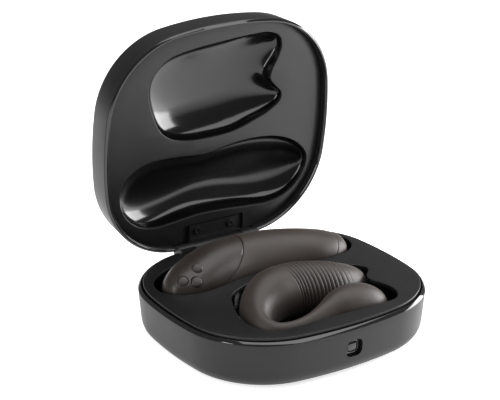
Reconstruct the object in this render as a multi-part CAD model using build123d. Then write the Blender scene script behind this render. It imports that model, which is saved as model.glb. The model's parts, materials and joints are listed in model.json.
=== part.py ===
from build123d import *
import os
from math import atan2, cos, sin

# Storage and charging case that opens on a rear hinge and holds two soft-touch devices.
# Millimetres. Origin at the centre of the bottom face, +Z up, the front of the case is -Y,
# the hinge is at +Y. The base is drawn in place, and the lid is drawn closed over it and
# then swung open by OPEN_ANGLE, which is the pose of the exported model.

# ---- driving dimensions -------------------------------------------------------------------
HALF_WIDTH = 60.0
HALF_DEPTH = 54.8
CORNER_X = 19.3            # centre of the corner arc
CORNER_Y = 13.4
CORNER_RADIUS = 40.0

DECK_TOP = 24.0            # raised plate that the wells open in
WALL_TOP = 21.6            # joint of the base wall and its polished ring
RING_TOP = 22.9
DECK_INSET = 2.3
DECK_THICK = 1.6
FLOOR_TOP = 2.2
WELL_FLOOR = 9.8
MOUTH_ROUND = 0.3          # small bevel round the mouth of a well
TRAY = 1.0                 # wall of a well tray
FIT = 0.1                  # gap between pieces that are fixed together

LID_RIM = 23.2             # closed height of the lid's rim, 0.3 above the base ring
LID_LINER = 26.7           # closed height of the recessed liner
LINER_THICK = 1.4
LID_TOP = 41.4
LID_CEILING = 38.7         # deepest point of the lid's wells, closed
BOWL_CURVE = 2.8           # power of the curve of the lid's wells from rim to bottom
BOWL_SHARES = [1.0, 0.995, 0.98, 0.95, 0.9, 0.83, 0.74, 0.62, 0.46, 0.28, 0.1]
THUMB_WIDTH = 27.6         # bevel under the lid's front edge for a thumb
HINGE_Y = 53.3
HINGE_Z = 23.2
OPEN_ANGLE = 85.0

KNUCKLE_RADIUS = 3.0
PIN_RADIUS = 1.0
HINGE_HALF = 22.4          # half width of the gap in the lid for the hinge
KNUCKLE_OUT = 21.8
KNUCKLE_IN = 13.4
LEAF_HALF = 13.1
RECESS_HALF = 16.4         # recess of the hinge leaf in the liner
RECESS_FRONT = 42.6

BUTTON_Z = 12.7            # front button
BUTTON_W = 5.0
BUTTON_H = 4.2
BEZEL_W = 8.2
BEZEL_H = 7.8

os.makedirs("parts", exist_ok=True)


def save(shape, node):
    export_step(shape, "parts/" + node + ".step")


# ---- outline of the case ------------------------------------------------------------------
def side_arc(centre_along, centre_across, half):
    """Radius of the shallow arc that joins two corner arcs through the middle of a side."""
    gap = half - centre_across
    return (centre_along ** 2 + gap ** 2 - CORNER_RADIUS ** 2) / (2 * (gap - CORNER_RADIUS))


END_ARC = side_arc(CORNER_X, CORNER_Y, HALF_DEPTH)
FLANK_ARC = side_arc(CORNER_Y, CORNER_X, HALF_WIDTH)


def corner_point(angle, radius):
    return (CORNER_X + radius * cos(angle), CORNER_Y + radius * sin(angle))


def case_face(inset, z):
    """Rounded-square section of the case at height z, drawn in by inset."""
    radius = CORNER_RADIUS - inset
    to_end = atan2(CORNER_Y - (HALF_DEPTH - END_ARC), CORNER_X)
    to_flank = atan2(CORNER_Y, CORNER_X - (HALF_WIDTH - FLANK_ARC))
    end = corner_point(to_end, radius)
    middle = corner_point((to_end + to_flank) / 2, radius)
    flank = corner_point(to_flank, radius)
    depth = HALF_DEPTH - inset
    width = HALF_WIDTH - inset
    arcs = [((-end[0], end[1]), (0, depth), end)]
    arcs.append((end, middle, flank))
    arcs.append((flank, (width, 0), (flank[0], -flank[1])))
    arcs.append(((flank[0], -flank[1]), (middle[0], -middle[1]), (end[0], -end[1])))
    arcs.append(((end[0], -end[1]), (0, -depth), (-end[0], -end[1])))
    arcs.append(((-end[0], -end[1]), (-middle[0], -middle[1]), (-flank[0], -flank[1])))
    arcs.append(((-flank[0], -flank[1]), (-width, 0), (-flank[0], flank[1])))
    arcs.append(((-flank[0], flank[1]), (-middle[0], middle[1]), (-end[0], end[1])))
    edges = [ThreePointArc(*[(x, y, z) for x, y in arc]) for arc in arcs]
    return Face(Wire(edges))


def case_solid(levels):
    """Solid between sections of the case, given as (z, inset) from the bottom up."""
    return Solid.make_loft([case_face(inset, z).outer_wire() for z, inset in levels], ruled=True)


def slab(x0, x1, y0, y1, z0, z1):
    return Pos((x0 + x1) / 2, (y0 + y1) / 2, (z0 + z1) / 2) * Box(x1 - x0, y1 - y0, z1 - z0)


def rod_x(radius, x0, x1, y, z):
    return Pos((x0 + x1) / 2, y, z) * Rot(0, 90, 0) * Cylinder(radius, x1 - x0)


def rod_z(radius, x, y, z0, z1):
    return Pos(x, y, (z0 + z1) / 2) * Cylinder(radius, z1 - z0)


def swing_open(shape):
    hinge = Axis((0, HINGE_Y, HINGE_Z), (1, 0, 0))
    return shape.rotate(hinge, -OPEN_ANGLE)


# ---- wells --------------------------------------------------------------------------------
# Outlines in plan, anticlockwise seen from above, each with the half sizes used to grow it.
REMOTE_WELL = [(-51.2, 21), (-50, 15.5), (-45, 10.4), (-36, 7.6), (-25, 8.8), (-13, 11.4), (0, 12.6),
               (12, 12), (24, 9.6), (34, 8.4), (43.5, 10), (49.6, 14.6), (52, 21.4), (50.4, 28),
               (44, 33.4), (33, 37), (20, 38.6), (0, 39.2), (-20, 39.6), (-34, 38.4), (-42.4, 34.4),
               (-48.8, 28.6)]
MASSAGER_WELL = [(-37.4, -30), (-35.6, -37.2), (-31.4, -40.8), (-24, -42.6), (-6, -43), (14, -43.4),
                 (25, -43.9), (31, -42.6), (34.7, -37.8), (35.6, -31.6), (34.4, -25.6), (32.9, -20.4),
                 (34.6, -16.4), (38.2, -13), (39.4, -9.2), (36.6, -4.4), (28, 1), (16, 4.8), (3, 6.2),
                 (-10, 5.6), (-20, 2.8), (-27, -1.6), (-32, -9.6), (-35.8, -19.4)]
LID_REMOTE_WELL = [(-50.2, 21.6), (-49.3, 16.1), (-45.7, 11.3), (-39, 7.6), (-31, 6.6), (-18, 7.2),
                   (-6, 8.2), (4, 6.6), (14, 5.5), (24, 5.6), (33, 7), (41, 10), (47.6, 14.8),
                   (51.2, 20.4), (50.6, 27), (46.8, 33), (40, 38.2), (31, 40.6), (20, 40.2),
                   (6, 38.9), (-8, 38.4), (-22, 39.6), (-32, 40), (-40, 37.8), (-46.2, 32.6),
                   (-49.3, 27)]
LID_MASSAGER_WELL = [(-36.6, -27), (-35, -33.4), (-31, -38), (-26, -41.2), (-16, -43.4), (0, -44.9),
                     (17, -45.8), (26, -45.4), (31.6, -42.6), (33.2, -38), (31.6, -32.4),
                     (28.8, -27), (28, -22.6), (30.8, -18.8), (34.2, -15.2), (34.3, -11.5),
                     (28, -6.6), (19, -3.1), (9, -0.2), (-3, 0.6), (-15, 0), (-24, -2.4),
                     (-30, -7), (-33.4, -13.6), (-35.8, -20.4)]


def well_wire(points, grow, z, share=1.0):
    """Closed curve through a share of a well's outline, made larger by grow on every side."""
    xs = [p[0] for p in points]
    ys = [p[1] for p in points]
    mid_x = (max(xs) + min(xs)) / 2
    mid_y = (max(ys) + min(ys)) / 2
    scale_x = share * (1 + 2 * grow / (max(xs) - min(xs)))
    scale_y = share * (1 + 2 * grow / (max(ys) - min(ys)))
    moved = [(mid_x + (x - mid_x) * scale_x, mid_y + (y - mid_y) * scale_y, z) for x, y in points]
    return Wire([Spline(*moved, periodic=True)])


def well_solid(points, levels):
    """Solid between outlines of a well, given as (z, grow)."""
    return Solid.make_loft([well_wire(points, grow, z) for z, grow in levels])


def bowl_solid(points, grow, rim, depth):
    """Solid of a round-bottomed bowl whose section is part of a rounded square from rim to bottom."""
    wires = []
    for share in BOWL_SHARES:
        height = (1 - share ** BOWL_CURVE) ** (1 / BOWL_CURVE)
        wires.append(well_wire(points, grow, rim + depth * height, share))
    return Solid.make_loft(wires, ruled=True)


def well_prism(points, grow, z0, z1):
    return extrude(Face(well_wire(points, grow, z0)), amount=z1 - z0, dir=(0, 0, 1))


# ---- base ---------------------------------------------------------------------------------
FOOT_TOP = 0.9
BASE_BOTTOM = 0.4
FOOT_INSET = 16.0
SCREW_PLACES = [(-44, -27.6), (44, -27.6), (-25.5, 42.0), (25.5, 42.0)]
SCREW_HEAD = 2.4
SCREW_SHANK = 1.0
POST_TOP = 6.0
BOSS_RADIUS = 2.5
SCREW_END = 12.0
BOARD_Z = 3.4
HINGE_BLOCK_Z = 16.0
HINGE_BLOCK_Y = 44.6
USB_Z = 9.6
USB_HALF = 4.47
USB_THICK = 3.2
BEZEL_FACE = 52.35         # depth of the flat front of the button bezel
BEZEL_DEPTH = 3.2


def bezel_block(width, height, corner, y0, y1):
    """Rounded bar along Y on the button's axis, from y0 to y1."""
    sketch = Plane.XZ.offset(-y0) * Pos(0, BUTTON_Z) * RectangleRounded(width, height, corner)
    return extrude(sketch, amount=y0 - y1)


def usb_bar(grow, y0, y1):
    """Stadium-shaped bar of the charging socket along Y."""
    width = 2 * (USB_HALF + grow)
    height = USB_THICK + 2 * grow
    sketch = Plane.XZ.offset(-y0) * Pos(0, USB_Z) * RectangleRounded(width, height, height / 2 - 0.01)
    return extrude(sketch, amount=y0 - y1)


def hinge_gap(z0, z1):
    return slab(-HINGE_HALF, HINGE_HALF, HINGE_BLOCK_Y - FIT, 60, z0, z1)


base_outer = case_solid([(BASE_BOTTOM, 8.2), (1.0, 6.0), (2.6, 3.6), (5.2, 1.7), (8.0, 1.15),
                         (WALL_TOP, 0)])
base_inner = case_solid([(FLOOR_TOP, 7.0), (5.4, 4.0), (8.0, 3.3), (WALL_TOP + 1, 2.0)])
foot_pad = extrude(case_face(FOOT_INSET, 0), amount=FOOT_TOP, dir=(0, 0, 1))
foot_pocket = extrude(case_face(FOOT_INSET - FIT, 0), amount=FOOT_TOP, dir=(0, 0, 1))

STANDOFFS = [(-31, -27), (-5, -27), (-31, 17), (-5, 17)]
base_shell = base_outer - base_inner
for x, y in SCREW_PLACES:
    base_shell = base_shell + rod_z(3.4, x, y, FLOOR_TOP - 0.5, POST_TOP)
for x, y in STANDOFFS:
    base_shell = base_shell + rod_z(1.5, x, y, FLOOR_TOP - 0.5, BOARD_Z)
for x, y in SCREW_PLACES:
    base_shell = base_shell - rod_z(SCREW_SHANK + 0.05, x, y, -1, 9)
    base_shell = base_shell - rod_z(SCREW_HEAD + 0.2, x, y, -1, 2.4)
base_shell = base_shell - foot_pocket
base_shell = base_shell - hinge_gap(HINGE_BLOCK_Z, 30)
base_shell = base_shell - bezel_block(BEZEL_W, BEZEL_H, 2.6, -60, -45)
base_shell = base_shell - usb_bar(0.15, 60, 45)

base_trim_ring = case_solid([(WALL_TOP, 0), (RING_TOP, 1.1)])
base_trim_ring = base_trim_ring - case_solid([(WALL_TOP - 0.1, 1.93), (RING_TOP + 0.1, 1.47)])
base_trim_ring = base_trim_ring - hinge_gap(HINGE_BLOCK_Z, 30)

DECK_UNDER = DECK_TOP - DECK_THICK
base_deck = case_solid([(DECK_UNDER, DECK_INSET), (DECK_TOP - 0.3, DECK_INSET),
                        (DECK_TOP, DECK_INSET + 0.3)])
deck_skirt = case_solid([(19.4, DECK_INSET + 0.1), (DECK_UNDER, DECK_INSET + 0.1)])
deck_skirt = deck_skirt - case_solid([(19.0, DECK_INSET + 1.3), (DECK_UNDER + 0.1, DECK_INSET + 1.3)])
base_deck = base_deck + deck_skirt
TRAY_TOP = DECK_UNDER - FIT
WELL_INSIDE = [(TRAY_TOP + 0.05, 0.12), (19, 0), (15, -0.5), (12, -1.6), (10.4, -3.4), (WELL_FLOOR, -5.5)]
TRAY_OUTSIDE = [(TRAY_TOP, TRAY), (19, TRAY), (15, TRAY - 0.5), (12, TRAY - 1.5), (10, TRAY - 2.8),
                (WELL_FLOOR - TRAY, TRAY - 4.6)]
boss_room = well_solid(REMOTE_WELL, [(z, grow + 0.3) for z, grow in TRAY_OUTSIDE])
for x, y in SCREW_PLACES:
    base_deck = base_deck + (rod_z(BOSS_RADIUS, x, y, POST_TOP + FIT, DECK_UNDER + 0.2) - boss_room)
    base_deck = base_deck - rod_z(SCREW_SHANK + 0.05, x, y, POST_TOP, SCREW_END + 0.2)
for outline in (REMOTE_WELL, MASSAGER_WELL):
    base_deck = base_deck - well_prism(outline, 0, DECK_UNDER - 1, DECK_TOP - MOUTH_ROUND)
    mouth = [(DECK_TOP - MOUTH_ROUND - 0.01, 0), (DECK_TOP + 0.1, MOUTH_ROUND)]
    base_deck = base_deck - well_solid(outline, mouth)
base_deck = base_deck - hinge_gap(HINGE_BLOCK_Z, 30)

base_well_rear = well_solid(REMOTE_WELL, TRAY_OUTSIDE) - well_solid(REMOTE_WELL, WELL_INSIDE)
base_well_front = well_solid(MASSAGER_WELL, TRAY_OUTSIDE) - well_solid(MASSAGER_WELL, WELL_INSIDE)

base_screws = []
for x, y in SCREW_PLACES:
    base_screws.append(rod_z(SCREW_SHANK, x, y, 2.3, SCREW_END) + rod_z(SCREW_HEAD, x, y, 0.9, 2.3))

# ---- hinge --------------------------------------------------------------------------------
hinge_block = slab(-KNUCKLE_OUT, KNUCKLE_OUT, HINGE_BLOCK_Y, HINGE_Y + 0.2, HINGE_BLOCK_Z, 20.4)
hinge_block = hinge_block & base_outer
hinge_block = hinge_block + slab(-KNUCKLE_OUT, KNUCKLE_OUT, HINGE_BLOCK_Y, 48.6, 20.0, DECK_TOP)
for side in (-1, 1):
    inner = side * KNUCKLE_IN
    outer = side * KNUCKLE_OUT
    low = min(inner, outer)
    high = max(inner, outer)
    hinge_block = hinge_block + rod_x(KNUCKLE_RADIUS, low, high, HINGE_Y, HINGE_Z)
    hinge_block = hinge_block + slab(low, high, 48, HINGE_Y, 19.0, HINGE_Z + KNUCKLE_RADIUS - 1.0)
hinge_block = hinge_block - rod_x(KNUCKLE_RADIUS + 0.35, -KNUCKLE_IN, KNUCKLE_IN, HINGE_Y, HINGE_Z)
hinge_block = hinge_block - slab(-KNUCKLE_IN, KNUCKLE_IN, 48.6, 60, 20.4, 30)
hinge_block = hinge_block - rod_x(PIN_RADIUS, -20.4, 20.4, HINGE_Y, HINGE_Z)
hinge_pin = rod_x(PIN_RADIUS, -20.4, 20.4, HINGE_Y, HINGE_Z)

hinge_leaf = rod_x(2.6, -LEAF_HALF, LEAF_HALF, HINGE_Y, HINGE_Z)
hinge_leaf = hinge_leaf + slab(-LEAF_HALF, LEAF_HALF, 49.6, HINGE_Y, HINGE_Z + 1.4, LID_LINER + 0.9)
hinge_leaf = hinge_leaf + slab(-LEAF_HALF, LEAF_HALF, 43.6, 50.6, LID_LINER - 0.3, LID_LINER + 0.9)
hinge_leaf = hinge_leaf - rod_x(PIN_RADIUS + 0.05, -LEAF_HALF - 1, LEAF_HALF + 1, HINGE_Y, HINGE_Z)

# ---- lid, drawn closed --------------------------------------------------------------------
MAGNET_X = 43.0
MAGNET_Y = -33.6
MAGNET_RADIUS = 2.5
LEAF_SCREW_X = 9.0
LEAF_SCREW_Y = 46.4
LINER_BACK = LID_LINER + LINER_THICK

HINGE_ROOM_TOP = HINGE_Z + KNUCKLE_RADIUS + 1.6
lid_shell = case_solid([(LID_RIM + 0.9, 0), (36.0, 0.85), (38.2, 1.7), (40.0, 3.6), (41.0, 6.2),
                        (LID_TOP, 9.4)])
lid_shell = lid_shell - case_solid([(LID_RIM, 1.9), (36.0, 2.6), (38.6, 4.6), (39.6, 8.0), (39.9, 12.0)])
lid_shell = lid_shell - slab(-HINGE_HALF, HINGE_HALF, 49, 60, LID_RIM - 1, HINGE_ROOM_TOP)
thumb_bevel = Pos(0, -HALF_DEPTH - 0.35, LID_RIM) * Rot(45, 0, 0) * Box(THUMB_WIDTH, 2.4, 2.4)
lid_shell = lid_shell - thumb_bevel

lid_trim_ring = case_solid([(LID_RIM, 0.9), (LID_RIM + 0.9, 0)])
lid_trim_ring = lid_trim_ring - case_solid([(LID_RIM - 0.1, 1.5), (LID_RIM + 0.95, 1.9)])
lid_trim_ring = lid_trim_ring - slab(-HINGE_HALF, HINGE_HALF, 49, 60, LID_RIM - 1, 30)
lid_trim_ring = lid_trim_ring - thumb_bevel

lid_liner = case_solid([(LID_LINER, 2.2), (LINER_BACK, 2.25)])
for outline in (LID_REMOTE_WELL, LID_MASSAGER_WELL):
    lid_liner = lid_liner - well_prism(outline, 0, LID_LINER + MOUTH_ROUND, LINER_BACK + 1)
    mouth = [(LID_LINER - 0.1, MOUTH_ROUND), (LID_LINER + MOUTH_ROUND + 0.01, 0)]
    lid_liner = lid_liner - well_solid(outline, mouth)
lid_liner = lid_liner - slab(-HINGE_HALF, HINGE_HALF, 50.9, 60, 20, HINGE_ROOM_TOP)
lid_liner = lid_liner - slab(-RECESS_HALF, RECESS_HALF, RECESS_FRONT, 60, LID_LINER - 1, LID_LINER + 0.9)
for x in (-LEAF_SCREW_X, LEAF_SCREW_X):
    lid_liner = lid_liner - rod_z(0.85, x, LEAF_SCREW_Y, 24, 31)
    hinge_leaf = hinge_leaf - rod_z(0.85, x, LEAF_SCREW_Y, 24, 31)
leaf_screws = []
for x in (-LEAF_SCREW_X, LEAF_SCREW_X):
    leaf_screws.append(rod_z(0.8, x, LEAF_SCREW_Y, LID_LINER - 0.3, 31) +
                       rod_z(1.7, x, LEAF_SCREW_Y, LID_LINER - 1.0, LID_LINER - 0.3))

LID_TRAY_RIM = LINER_BACK + FIT
LID_INNER_RIM = LID_TRAY_RIM - 0.05
lid_wells = []
for outline in (LID_REMOTE_WELL, LID_MASSAGER_WELL):
    outside = bowl_solid(outline, TRAY, LID_TRAY_RIM, LID_CEILING + 0.9 - LID_TRAY_RIM)
    inside = bowl_solid(outline, 0, LID_INNER_RIM, LID_CEILING - LID_INNER_RIM)
    lid_wells.append(outside - inside)

lid_magnets = []
base_magnets = []
for x in (-MAGNET_X, MAGNET_X):
    lid_magnets.append(rod_z(MAGNET_RADIUS, x, MAGNET_Y, LINER_BACK, LINER_BACK + 2.5))
    base_magnets.append(rod_z(MAGNET_RADIUS, x, MAGNET_Y, DECK_UNDER - 2.5, DECK_UNDER))

# ---- electronics of the base --------------------------------------------------------------
main_board = slab(-34, -2, -30, 20, BOARD_Z, BOARD_Z + 1.0)
main_board = main_board + slab(-28, -20, -20, -12, BOARD_Z + 1.0, BOARD_Z + 2.0)
main_board = main_board + slab(-16, -8, 0, 10, BOARD_Z + 1.0, BOARD_Z + 2.4)
base_battery = fillet(slab(2, 36, -30, 20, FLOOR_TOP, 7.2).edges().filter_by(Axis.Z), 2.0)

usb_socket = usb_bar(0, 52.6, 45.2) - usb_bar(-0.35, 53, 46.0)
usb_socket = usb_socket + slab(-3.3, 3.3, 46.0, 51.6, USB_Z - 0.35, USB_Z + 0.35)
charge_board = slab(-9, 9, 44.8, 50.6, USB_Z - USB_THICK / 2 - 1.0, USB_Z - USB_THICK / 2)

PIN_TOP = WELL_FLOOR + 0.4
REMOTE_PINS = [(-4, 24.6), (4, 24.6)]
MASSAGER_PINS = [(-4, -11.4), (4, -11.4)]


def contact_pins(places, radius, z0, z1):
    return [rod_z(radius, x, y, z0, z1) for x, y in places]


pins_rear = contact_pins(REMOTE_PINS, 0.8, WELL_FLOOR - 2.4, PIN_TOP)
pins_front = contact_pins(MASSAGER_PINS, 0.8, WELL_FLOOR - 1.6, PIN_TOP)
for pin in pins_rear:
    base_well_rear = base_well_rear - pin
for pin in pins_front:
    base_well_front = base_well_front - pin

# ---- front button -------------------------------------------------------------------------
front_bezel = bezel_block(BEZEL_W - 0.1, BEZEL_H - 0.1, 2.55, -BEZEL_FACE, BEZEL_DEPTH - BEZEL_FACE)
front_bezel = front_bezel - bezel_block(BUTTON_W + 0.4, BUTTON_H + 0.4, 1.6, -60, -45)
front_button = bezel_block(BUTTON_W, BUTTON_H, 1.4, -BEZEL_FACE - 0.4, 1.8 - BEZEL_FACE)
front_button = chamfer(front_button.faces().sort_by(Axis.Y)[0].edges(), 0.45)
front_button = front_button + bezel_block(2.0, 1.6, 0.5, 1.8 - BEZEL_FACE, 3.0 - BEZEL_FACE)
SWITCH_FRONT = 3.5 - BEZEL_FACE
front_switch = bezel_block(6.0, 4.0, 0.3, SWITCH_FRONT, SWITCH_FRONT + 1.6)
button_board = bezel_block(14.0, 8.0, 0.5, SWITCH_FRONT + 1.6, SWITCH_FRONT + 2.4)


# ---- remote -------------------------------------------------------------------------------
# Each station is (x, centre y, centre z, half width, half height).
REMOTE_STATIONS = [(-49.0, 18.0, 23.4, 1.6, 1.4), (-47.6, 18.1, 23.3, 5.0, 4.0),
                   (-44.5, 18.7, 23.0, 8.2, 6.8), (-38.0, 20.4, 22.8, 11.4, 9.8),
                   (-30.0, 22.4, 23.0, 12.6, 12.0), (-20.0, 24.2, 24.0, 12.6, 13.0),
                   (-8.0, 25.4, 24.2, 12.2, 13.0), (6.0, 25.2, 23.8, 12.2, 12.9),
                   (20.0, 23.8, 22.9, 12.4, 12.2), (32.0, 21.6, 22.3, 12.0, 10.8),
                   (41.0, 20.6, 22.1, 10.0, 8.4), (46.4, 20.2, 22.4, 6.4, 5.2),
                   (48.6, 20.1, 22.5, 2.0, 1.7)]
REMOTE_WALL = 1.8
SEAM_X = -48.7             # axis of the round joint between the button housing and the sleeve
SEAM_Z = 67.2
SEAM_RADIUS = 51.9
CAP_SLANT = 36.0
CAP_X = 36.9
CAP_Z = 22.3


def remote_solid(shrink, stations):
    wires = []
    for x, y, z, half_y, half_z in stations:
        plane = Plane(origin=(x, y, z), x_dir=(0, 1, 0), z_dir=(1, 0, 0))
        wires.append((plane * Ellipse(half_y - shrink, half_z - shrink)).wire())
    return Solid.make_loft(wires)


remote_outer = remote_solid(0, REMOTE_STATIONS)
remote_cavity = remote_solid(REMOTE_WALL, REMOTE_STATIONS[2:-2])
remote_shell = remote_outer - remote_cavity
seam_tool = Pos(SEAM_X, 20, SEAM_Z) * Rot(90, 0, 0) * Cylinder(SEAM_RADIUS, 80)
cap_tool = Pos(CAP_X, 20, CAP_Z) * Rot(0, CAP_SLANT, 0) * Pos(30, 0, 0) * Box(60, 80, 90)
remote_housing = remote_shell & seam_tool
remote_end_cap = (remote_shell - seam_tool) & cap_tool
remote_sleeve = (remote_shell - seam_tool) - cap_tool

KEY_NORMAL = (-0.36, -0.60, 0.715)
KEY_RADIUS = 2.4
KEYS = [("remote_key_upper", (-34.3, 15.2, 32.1)), ("remote_key_left", (-42.6, 13.6, 28.6)),
        ("remote_key_lower", (-37.5, 10.8, 28.2))]


def key_solid(centre, radius, low, high):
    """Round key along the key axis, from low to high about its centre on the surface."""
    plane = Plane(origin=centre, z_dir=KEY_NORMAL)
    return extrude(plane.offset(low) * Circle(radius), amount=high - low)


key_shapes = []
for name, centre in KEYS:
    remote_housing = remote_housing - key_solid(centre, KEY_RADIUS + 0.2, -4.5, 4)
    dome = key_solid(centre, KEY_RADIUS, -2.2, 3) & remote_solid(-0.5, REMOTE_STATIONS)
    key_shapes.append((name, dome))

switch_plate = Plane(origin=(-38.3, 13.0, 29.4), x_dir=(0.9, -0.3, 0.2), z_dir=KEY_NORMAL)
remote_switches = extrude(switch_plate.offset(-4.6) * RectangleRounded(15, 13, 3), amount=0.5)
for name, centre in KEYS:
    remote_switches = remote_switches + key_solid(centre, 1.6, -5.6, -2.9)
remote_switches = remote_switches & remote_solid(REMOTE_WALL + 0.3, REMOTE_STATIONS[2:-2])
remote_board = slab(-38, 10, 19, 30, 21.0, 22.0) & remote_solid(REMOTE_WALL + 0.8, REMOTE_STATIONS[2:-2])
remote_battery = rod_x(3.8, -6, 20, 24.2, 17.0)
remote_contacts = contact_pins(REMOTE_PINS, 1.6, 0, 20)
contact_zone = remote_solid(0, REMOTE_STATIONS) - remote_solid(0.6, REMOTE_STATIONS[1:-1])
remote_contacts = [pad & contact_zone for pad in remote_contacts]
remote_contacts = [pad & slab(-20, 20, 0, 40, 0, 20) for pad in remote_contacts]
for pad in contact_pins(REMOTE_PINS, 1.6, 0, 20):
    remote_sleeve = remote_sleeve - (pad & contact_zone)
    remote_housing = remote_housing - (pad & contact_zone)

# ---- massager -----------------------------------------------------------------------------
# C-shaped body on its side. Each station is (x, y, z, half width, half height).
MASSAGER_STATIONS = [(37.2, -10.4, 18.6, 1.5, 1.6), (35.6, -10.7, 18.8, 3.8, 4.4),
                     (31.0, -11.5, 19.6, 6.4, 7.4), (21.0, -13.2, 21.2, 9.6, 10.4),
                     (9.0, -12.0, 22.8, 10.5, 11.7), (-4.0, -10.6, 23.6, 10.8, 12.3),
                     (-15.0, -12.2, 23.6, 10.4, 12.1), (-23.0, -16.6, 21.8, 8.8, 11.2),
                     (-28.2, -23.0, 20.0, 6.4, 9.4), (-30.2, -30.0, 18.4, 4.9, 8.0),
                     (-27.6, -35.9, 17.4, 4.1, 7.2), (-21.5, -38.2, 17.2, 3.5, 7.0),
                     (-12.0, -38.0, 18.0, 3.7, 7.1), (-2.5, -36.2, 19.4, 5.2, 8.2),
                     (6.0, -34.4, 20.6, 7.9, 9.6), (15.0, -33.6, 20.6, 9.0, 10.0),
                     (23.0, -33.7, 19.6, 8.4, 8.7), (28.8, -34.0, 18.4, 5.6, 5.8),
                     (31.8, -34.2, 18.0, 1.7, 1.7)]


def massager_body(stations):
    path = Spline(*[(x, y, 0) for x, y, z, half_w, half_h in stations])
    wires = []
    for x, y, z, half_w, half_h in stations:
        along = path.tangent_at(path.param_at_point((x, y, 0)))
        plane = Plane(origin=(x, y, z), x_dir=(-along.Y, along.X, 0), z_dir=(along.X, along.Y, 0))
        wires.append((plane * Ellipse(half_w, half_h)).wire())
    return Solid.make_loft(wires)


massager_outer = massager_body(MASSAGER_STATIONS)

REAR_Y = -11.4
REAR_Z = 22.4
CORE_REAR = 6.4
FRONT_Y = -33.8
FRONT_Z = 20.0
CORE_FRONT = 5.4
rear_core_outer = rod_x(CORE_REAR, -13, 24, REAR_Y, REAR_Z)
front_core_outer = rod_x(CORE_FRONT, 4, 24, FRONT_Y, FRONT_Z)
rear_hollow = rod_x(CORE_REAR - 1.2, -11.8, 22.8, REAR_Y, REAR_Z)
front_hollow = rod_x(CORE_FRONT - 1.2, 5.2, 22.8, FRONT_Y, FRONT_Z)
MOTOR = 3.5
MOTOR_WEIGHT = 3.0
rear_motor = rod_x(MOTOR, -4, 8, REAR_Y, REAR_Z)
front_motor = rod_x(MOTOR, 13, 22, FRONT_Y, FRONT_Z)


def half_weight(radius, x0, x1, y, z):
    """Half-round eccentric weight with the shaft that it turns on."""
    upper = slab(x0 - 1, x1 + 1, y - radius - 1, y + radius + 1, z + 0.6, z + 9)
    return rod_x(radius, x0, x1, y, z) - upper


rear_weight = half_weight(MOTOR_WEIGHT, 9.2, 13.2, REAR_Y, REAR_Z)
rear_weight = rear_weight + rod_x(0.7, 8.3, 13.2, REAR_Y, REAR_Z)
front_weight = half_weight(MOTOR_WEIGHT, 7.6, 11.8, FRONT_Y, FRONT_Z)
front_weight = front_weight + rod_x(0.7, 7.6, 12.7, FRONT_Y, FRONT_Z)
rear_seats = [rod_x(CORE_REAR - 1.2, x0, x1, REAR_Y, REAR_Z) for x0, x1 in ((-3.6, -2.2), (5.8, 7.2))]
front_seats = [rod_x(CORE_FRONT - 1.2, x0, x1, FRONT_Y, FRONT_Z) for x0, x1 in ((14, 15.4), (19.6, 21))]
rear_core = rear_core_outer - rear_hollow
for seat in rear_seats:
    rear_core = rear_core + (seat - rear_motor)
front_core = front_core_outer - front_hollow
for seat in front_seats:
    front_core = front_core + (seat - front_motor)
massager_battery = rod_x(3.6, -11.4, -4.4, REAR_Y, REAR_Z)
massager_board = slab(15.0, 22.4, REAR_Y - 3.4, REAR_Y + 3.4, REAR_Z - 0.5, REAR_Z + 0.5)

SPINE_STATIONS = [(-13.6, -12.6), (-20.5, -15.8), (-27.4, -23.4), (-30.0, -30.0), (-27.4, -35.7),
                  (-21.5, -38.1), (-12.0, -37.9), (-2.0, -36.0), (3.6, -34.6)]
spine_path = Spline(*[(x, y, 20.0) for x, y in SPINE_STATIONS])
spine_start = spine_path.tangent_at(0)
spine_plane = Plane(origin=spine_path @ 0, x_dir=(-spine_start.Y, spine_start.X, 0),
                    z_dir=(spine_start.X, spine_start.Y, 0))
flex_spine = sweep(spine_plane * Rectangle(1.0, 6.0), path=spine_path)

massager_skin = massager_outer - rear_core_outer
massager_skin = massager_skin - front_core_outer
massager_skin = massager_skin - flex_spine
massager_contacts = contact_pins(MASSAGER_PINS, 1.5, 0, 20)
massager_contacts = [pad & massager_outer & slab(-20, 20, -40, 0, 0, 12.4) for pad in massager_contacts]
for pad in massager_contacts:
    massager_skin = massager_skin - pad

# ---- write the nodes ----------------------------------------------------------------------
save(base_shell, "base_shell")
save(base_trim_ring, "base_trim_ring")
save(base_deck, "base_deck")
save(base_well_rear, "base_well_rear")
save(base_well_front, "base_well_front")
save(foot_pad, "foot_pad")
save(Compound(children=base_screws), "base_screws")
save(Compound(children=base_magnets), "base_magnets")
save(hinge_block, "hinge_block")
save(hinge_pin, "hinge_pin")
save(main_board, "main_board")
save(base_battery, "base_battery")
save(usb_socket, "usb_socket")
save(charge_board, "charge_board")
save(Compound(children=pins_rear), "charge_pins_rear")
save(Compound(children=pins_front), "charge_pins_front")
save(front_bezel, "front_bezel")
save(front_button, "front_button")
save(front_switch, "front_switch")
save(button_board, "button_board")
save(swing_open(lid_shell), "lid_shell")
save(swing_open(lid_trim_ring), "lid_trim_ring")
save(swing_open(lid_liner), "lid_liner")
save(swing_open(lid_wells[0]), "lid_well_rear")
save(swing_open(lid_wells[1]), "lid_well_front")
save(swing_open(hinge_leaf), "hinge_leaf")
save(swing_open(Compound(children=leaf_screws)), "leaf_screws")
save(swing_open(Compound(children=lid_magnets)), "lid_magnets")
save(remote_housing, "remote_housing")
save(remote_sleeve, "remote_sleeve")
save(remote_end_cap, "remote_end_cap")
for name, shape in key_shapes:
    save(shape, name)
save(remote_switches, "remote_switches")
save(remote_board, "remote_board")
save(remote_battery, "remote_battery")
save(Compound(children=remote_contacts), "remote_contacts")
save(massager_skin, "massager_skin")
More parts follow.
